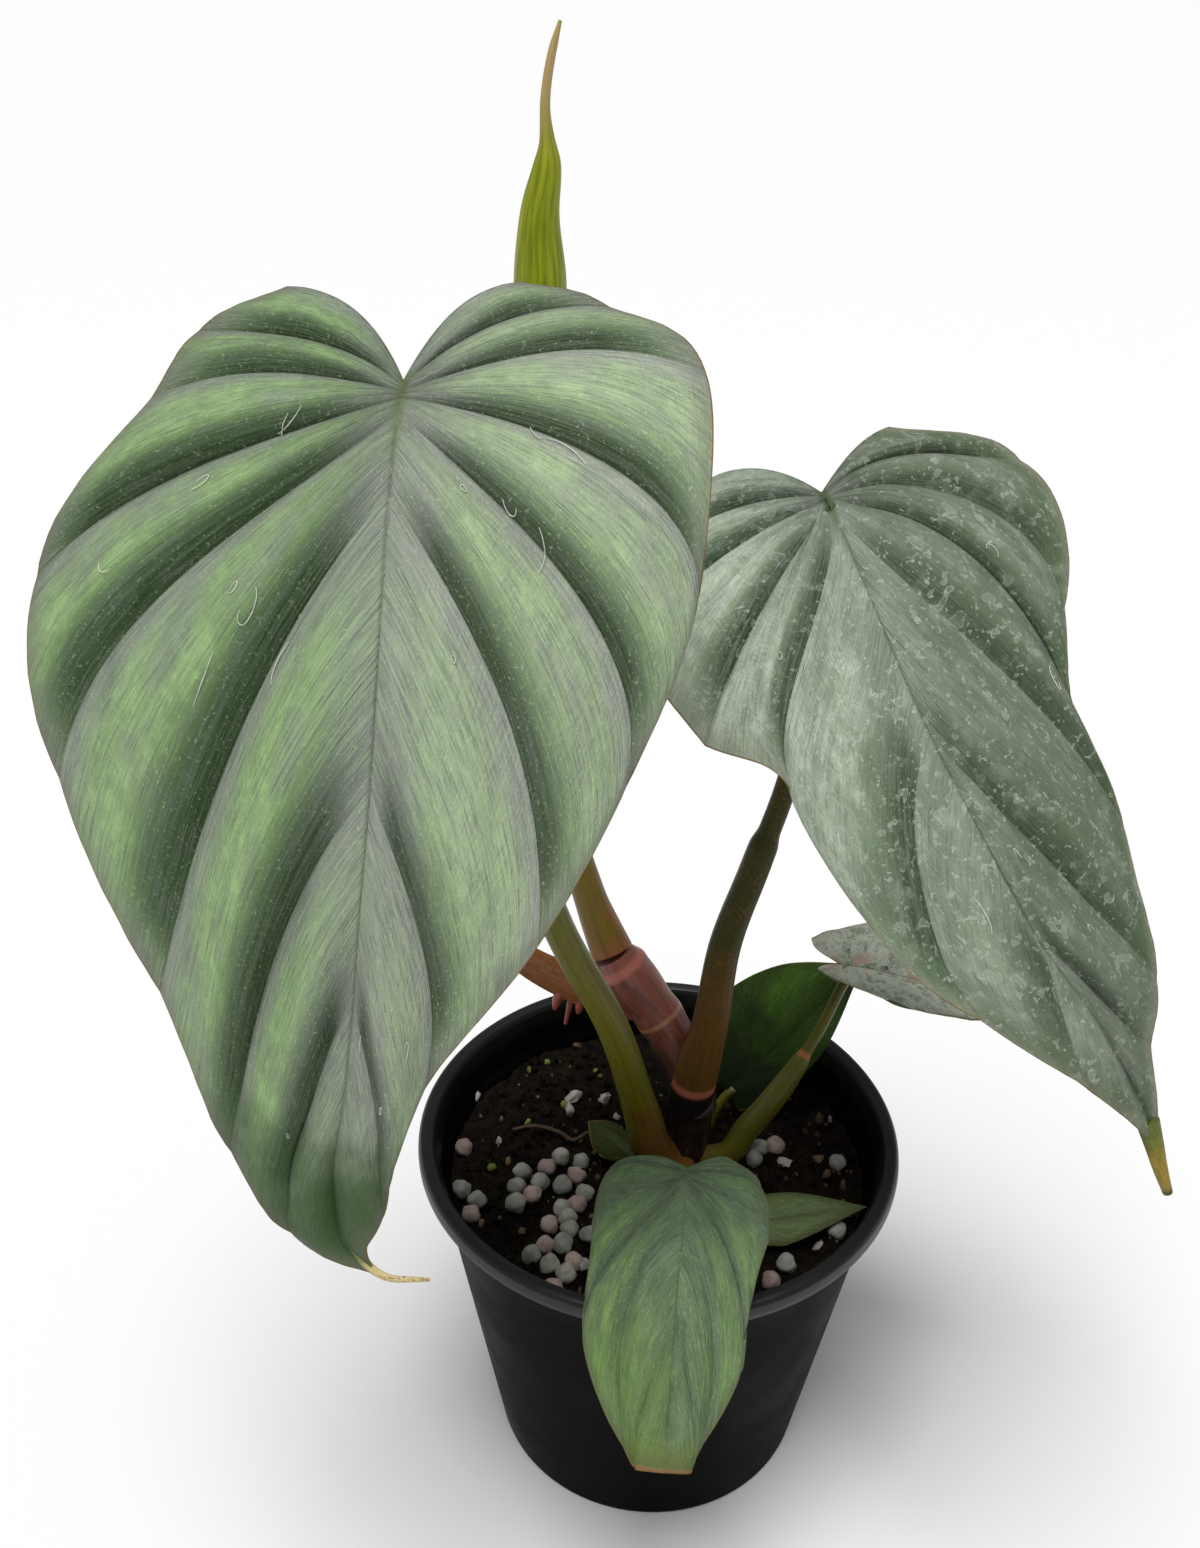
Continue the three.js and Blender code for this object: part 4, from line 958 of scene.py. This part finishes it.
def pierced_disc(radius, thickness):
    """A disc with the ring of drain holes, as points and faces"""
    shape = bmesh.new()
    rings = [(0.0, 0.0, radius, 96)]
    for i in range(DRAIN_HOLES):
        turn = 2 * math.pi * (i + 0.5) / DRAIN_HOLES
        rings.append((DRAIN_CIRCLE * math.cos(turn), DRAIN_CIRCLE * math.sin(turn), DRAIN_RADIUS, 28))
    edges = []
    for x, y, r, count in rings:
        places = [(x + r * math.cos(turn), y + r * math.sin(turn), 0) for turn in turns(count)]
        circle = [shape.verts.new(place) for place in places]
        edges += [shape.edges.new((circle[k], circle[(k + 1) % count])) for k in range(count)]
    bmesh.ops.triangle_fill(shape, edges=edges, use_beauty=True, normal=(0, 0, -1))
    solid = bmesh.ops.extrude_face_region(shape, geom=shape.faces[:])
    moved = [v for v in solid["geom"] if isinstance(v, bmesh.types.BMVert)]
    bmesh.ops.translate(shape, verts=moved, vec=(0, 0, thickness))
    bmesh.ops.recalc_face_normals(shape, faces=shape.faces[:])
    return taken_from(shape)


def soil_height(x, y):
    """The soil's top without its crumbs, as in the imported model"""
    swells = np.sin(0.31 * x + 1.3) * np.cos(0.27 * y)
    swells = swells + 0.6 * np.sin(0.83 * x - 0.71 * y) + 0.5 * np.sin(1.9 * x + 2.3 * y)
    return SOIL_LEVEL + SOIL_ROUGHNESS * swells


def lump(radius, seed, detail, roughness, scale, squash=1.0):
    """An irregular rounded lump at the origin: points and faces"""
    shape = bmesh.new()
    bmesh.ops.create_icosphere(shape, subdivisions=detail, radius=1.0)
    offset = Vector((seed * 1.37, seed * 0.71, seed * 2.13))
    for v in shape.verts:
        v.co *= 1 + roughness * noise.noise(v.co * scale + offset)
        v.co.z *= squash
    points, faces = taken_from(shape)
    return points * radius, faces


def joined(name, parts, material, slot):
    """One piece from many small lumps"""
    faces, first = [], 0
    for points, part_faces in parts:
        faces += [[corner + first for corner in face] for face in part_faces]
        first += len(points)
    dress(mesh_object(name, np.vstack([part[0] for part in parts]), faces, smooth_angle=60), slot, material)


def strew(name, parts, pale, dark, slot="soil"):
    """Many small matte lumps of one colour"""
    joined(name, parts, speckled_material(name, pale, dark), slot)


def spun(points, generator):
    """Turns a lump to a seeded random attitude."""
    x, y, z = (Matrix.Rotation(generator.uniform(0, 2 * math.pi), 3, axis) for axis in "XYZ")
    return points @ np.array(x @ y @ z).T


def build_soil():
    """The peat's fine closed bed, and what lies on it"""
    inner = pot_radius(SOIL_LEVEL) - WALL - SOIL_GAP
    rings, spokes = SOIL_GRID
    radius = inner * np.arange(1, rings + 1) / rings
    turn = turns(spokes)
    x, y = np.outer(radius, np.cos(turn)).ravel(), np.outer(radius, np.sin(turn)).ravel()
    rough = [0.9 * noise.fractal(Vector((a * 0.35, b * 0.35, 0)), 0.9, 2.2, 5) for a, b in zip(x, y)]
    z = soil_height(x, y) + np.array(rough) - 0.2
    low, bottom = BASE_RADIUS - WALL - 1.5, FLOOR + 0.4
    ends = [[0, 0, SOIL_LEVEL], [0, 0, bottom]]
    points = np.vstack([np.stack([x, y, z], -1), level_ring(turn, low, bottom), ends])
    middle, under = len(points) - 2, len(points) - 1
    faces = wall_faces(rings, spokes)[:, [0, 3, 2, 1]].tolist() + fan(middle, 0, spokes)
    faces += [(a, c, b) for a, b, c in fan(under, rings * spokes, spokes)]
    peat = soil_material()
    dress(mesh_object("soil_bed", points, faces, smooth_angle=80), "soil", peat, "soil")
    generator = random.Random(SOIL_SEED)
    build_crumbs(generator, inner - 1.2, peat)
    build_pellets(generator)
    build_perlite(generator)


def clear_of_stems(x, y):
    return all(math.hypot(x - a, y - b) > r for a, b, r in STEM_FEET)


def build_crumbs(generator, reach, peat):
    """Loose crumbs of peat, with bark and moss among them"""
    crumbs, chips, moss = [], [], []
    for i in range(CRUMBS):
        radius = reach * math.sqrt(generator.random())
        turn = generator.uniform(0, 2 * math.pi)
        x, y = radius * math.cos(turn), radius * math.sin(turn)
        if not clear_of_stems(x, y):
            continue
        size = 0.35 + 1.1 * generator.random() ** 3
        points, faces = lump(size, i, 1, 0.5, 1.3, generator.uniform(0.4, 0.8))
        z = float(soil_height(x, y)) + 0.15 * size
        kind = chips if i % CHIP_EVERY == 0 else moss if i % MOSS_EVERY == 0 else crumbs
        kind.append((spun(points, generator) + (x, y, z), faces))
    joined("peat_crumbs", crumbs, peat, "soil")
    strew("bark_bits", chips, (0.17, 0.1, 0.055), (0.05, 0.03, 0.018))
    strew("moss_bits", moss, (0.2, 0.25, 0.05), (0.08, 0.1, 0.02))


def build_pellets(generator):
    """Round feed pellets, some of them rosy"""
    grey, rosy = [], []
    for i, (x, y) in enumerate(PELLETS):
        points, faces = lump(PELLET_RADIUS * generator.uniform(0.92, 1.06), 50 + i, 3, 0.26, 1.3)
        z = float(soil_height(x, y)) + PELLET_RADIUS - PELLET_SUNK
        (grey if i % ROSY_EVERY else rosy).append((spun(points, generator) + (x, y, z), faces))
    strew("pellets_grey", grey, (0.4, 0.39, 0.34), (0.24, 0.25, 0.21))
    strew("pellets_rosy", rosy, (0.48, 0.37, 0.33), (0.3, 0.22, 0.2))


def build_perlite(generator):
    """Angular white chips"""
    chips = []
    for i, (x, y, size) in enumerate(PERLITE):
        points, faces = lump(size, 90 + i, 2, 0.7, 1.6, 0.6)
        chips.append((spun(points, generator) + (x, y, float(soil_height(x, y)) + 0.4 * size), faces))
    strew("perlite", chips, (0.5, 0.45, 0.42), (0.34, 0.29, 0.27))


def tones_of(grey, green, bright):
    """The colours of one leaf: the rest follow from its grey, its green and its brightest green."""
    return {
        "grey": grey,
        "green": green,
        "bright": bright,
        # Painted light laid over one half of a blade
        "painted_light": scaled(grey, 1.35, 1.3, 1.3),
        # Painted shade on the lower part of each panel
        "panel_shade": scaled(green, 0.4, 0.55, 0.28),
        "streak": scaled(grey, 0.45, 0.5, 0.5),
        # Painted shade on each panel's flank and in the vein grooves
        "flank_shade": scaled(green, 0.05, 0.085, 0.04),
        "glint": tuple(min(channel, 0.8) for channel in scaled(bright, 1.5, 1.4, 1.7)),
        "rim": scaled(grey, 0.5, 0.45, 0.4),
    }


def build_leaves():
    """Each leaf with its grey, green and brightest green, its look and its own marks"""
    leaves = (
        ("leaf_left", (0.33, 0.36, 0.31), (0.31, 0.45, 0.21), (0.46, 0.67, 0.29), {}, low_green),
        ("leaf_right", (0.58, 0.64, 0.53), (0.46, 0.56, 0.4), (0.74, 0.8, 0.67),
            {"streaks": 26, "depth": (1, 1), "painted_light": (0, 0)}, water_marks),
        ("leaf_front", (0.18, 0.24, 0.15), (0.2, 0.31, 0.12), (0.32, 0.5, 0.15),
            SMALL | {"streaks": 20}, cut_tip),
        ("leaf_scarred", (0.76, 0.82, 0.69), (0.68, 0.76, 0.6), (0.86, 0.9, 0.8),
            SMALL | {"streaks": 18}, scars),
        ("leaf_back", (0.035, 0.075, 0.006), (0.05, 0.13, 0.006), (0.1, 0.22, 0.012),
            SMALL | {"streaks": 18, "roughness": 0.3}, painted_shadow_foot),
        ("leaf_low", (0.14, 0.19, 0.08), (0.16, 0.23, 0.08), (0.24, 0.34, 0.1),
            SMALL | {"streaks": 14}, None),
        ("leaf_sprout", (0.05, 0.065, 0.015), (0.06, 0.085, 0.015), (0.1, 0.15, 0.03),
            SMALL | {"streaks": 12}, None),
    )
    drips = {
        "leaf_left": stalk_material("drip_tip", (0.12, 0.15, 0.02), (0.62, 0.5, 0.24), (0.05, 0.35)),
        "leaf_right": stalk_material("drip_right", (0.1, 0.14, 0.02), (0.3, 0.2, 0.02), (0.1, 0.6),
            rings=((1, 0.12, (0.05, 0.02, 0.01)),)),
    }
    for name, grey, green, bright, look, marks in leaves:
        build_blade(name, leaf_material(name, tones_of(grey, green, bright), LOOK | look, marks))
        if name in LINT:
            build_lint(name, *LINT[name])
            build_drip(name, drips[name])


def build_stalks():
    """The leaf stalks, the stem, the rolled new leaf, and the dry old parts"""
    knuckle, joint = (1, 0.06, PALE), (0, 0.03, ROSE)
    olive = stalk_material("stalk_left", (0.14, 0.06, 0.012), (0.12, 0.125, 0.004), (0.03, 0.14),
        rings=(joint, knuckle))
    dark_olive = stalk_material("stalk_right", (0.1, 0.05, 0.008), (0.03, 0.036, 0.002), (0.12, 0.4),
        shine=0.12, foot=(0.052, SOOT), rings=((0.056, 0.012, ROSE), knuckle))
    lime = stalk_material("stalk_scarred", (0.12, 0.11, 0.008), (0.1, 0.1, 0.006),
        rings=((0.62, 0.02, ORANGE),))
    for name in ("leaf_back", "leaf_low", "leaf_sprout"):
        build_stalk(name + "_foot", LEAVES[name]["foot"], olive, name, 16, 30, nodes=())
    for name, material in (("left", olive), ("right", dark_olive), ("front", olive), ("scarred", lime)):
        stalk = "stalk_" + name
        build_stalk(stalk, STALKS[stalk], material, "stalk", leaf=LEAVES["leaf_" + name])
    brown = stalk_material("stalk_new", (0.26, 0.08, 0.03), (0.16, 0.115, 0.008), (0.02, 0.12))
    build_stalk("stalk_new", STALKS["stalk_new"], brown, "stalk")
    stem = stalk_material("stem", SOOT, (0.24, 0.07, 0.045), (0.6, 0.8), (0.1, 0.03, 0.02), 0.6,
        rings=((0.785, 0.01, (0.4, 0.19, 0.1)), (0.965, 0.02, ROSE)))
    build_stalk("stem", STALKS["stem"], stem, "stem", 48, 260)
    build_stalk("new_leaf", NEW_LEAF, new_leaf_material(), "new_leaf", 48, 200)
    rust = stalk_material("sheath", (0.28, 0.08, 0.02), (0.26, 0.1, 0.03), (0.2, 0.5))
    build_stalk("old_sheath", OLD_SHEATH, rust, "sheath")
    pink = stalk_material("root_stubs", (0.35, 0.09, 0.06), (0.3, 0.06, 0.035), (0.2, 0.5))
    for i, stub in enumerate(ROOT_STUBS):
        build_stalk(f"root_stub_{i}", stub, pink, "sheath", 20, 24, nodes=())
    dry = stalk_material("dry_root", (0.045, 0.035, 0.012), (0.035, 0.026, 0.01), (0.2, 0.5))
    build_stalk("dry_root", DRY_ROOT, dry, "dry_root", 12, 60)


def build_stage():
    """A plain pale floor, wide enough that its edge is never seen"""
    corners = [(x * STAGE_HALF, y * STAGE_HALF, 0) for x, y in ((-1, -1), (1, -1), (1, 1), (-1, 1))]
    mesh = bpy.data.meshes.new("floor")
    mesh.from_pydata(corners, [], [(0, 1, 2, 3)])
    floor = bpy.data.objects.new("floor", mesh)
    bpy.context.collection.objects.link(floor)
    floor.data.materials.append(Graph("floor", (0.85, 0.85, 0.85)).finish(0.9))


def build_lights():
    """Even white surroundings and one broad soft light from high up in front"""
    world = bpy.data.worlds.new("studio")
    world.use_nodes = True
    background = world.node_tree.nodes["Background"]
    background.inputs["Color"].default_value = (1, 1, 1, 1)
    background.inputs["Strength"].default_value = SURROUNDINGS
    scene = bpy.context.scene
    scene.world = world
    scene.view_settings.view_transform = "Standard"
    data = bpy.data.lights.new("key", "SUN")
    data.energy = KEY_POWER
    data.angle = math.radians(KEY_SOFTNESS)
    key = bpy.data.objects.new("key", data)
    key.rotation_euler = (-Vector(KEY_FROM)).to_track_quat("-Z", "Y").to_euler()
    bpy.context.collection.objects.link(key)


place_camera()
build_stage()
build_lights()
build_pot()
build_soil()
build_leaves()
build_stalks()

bpy.context.view_layer.update()
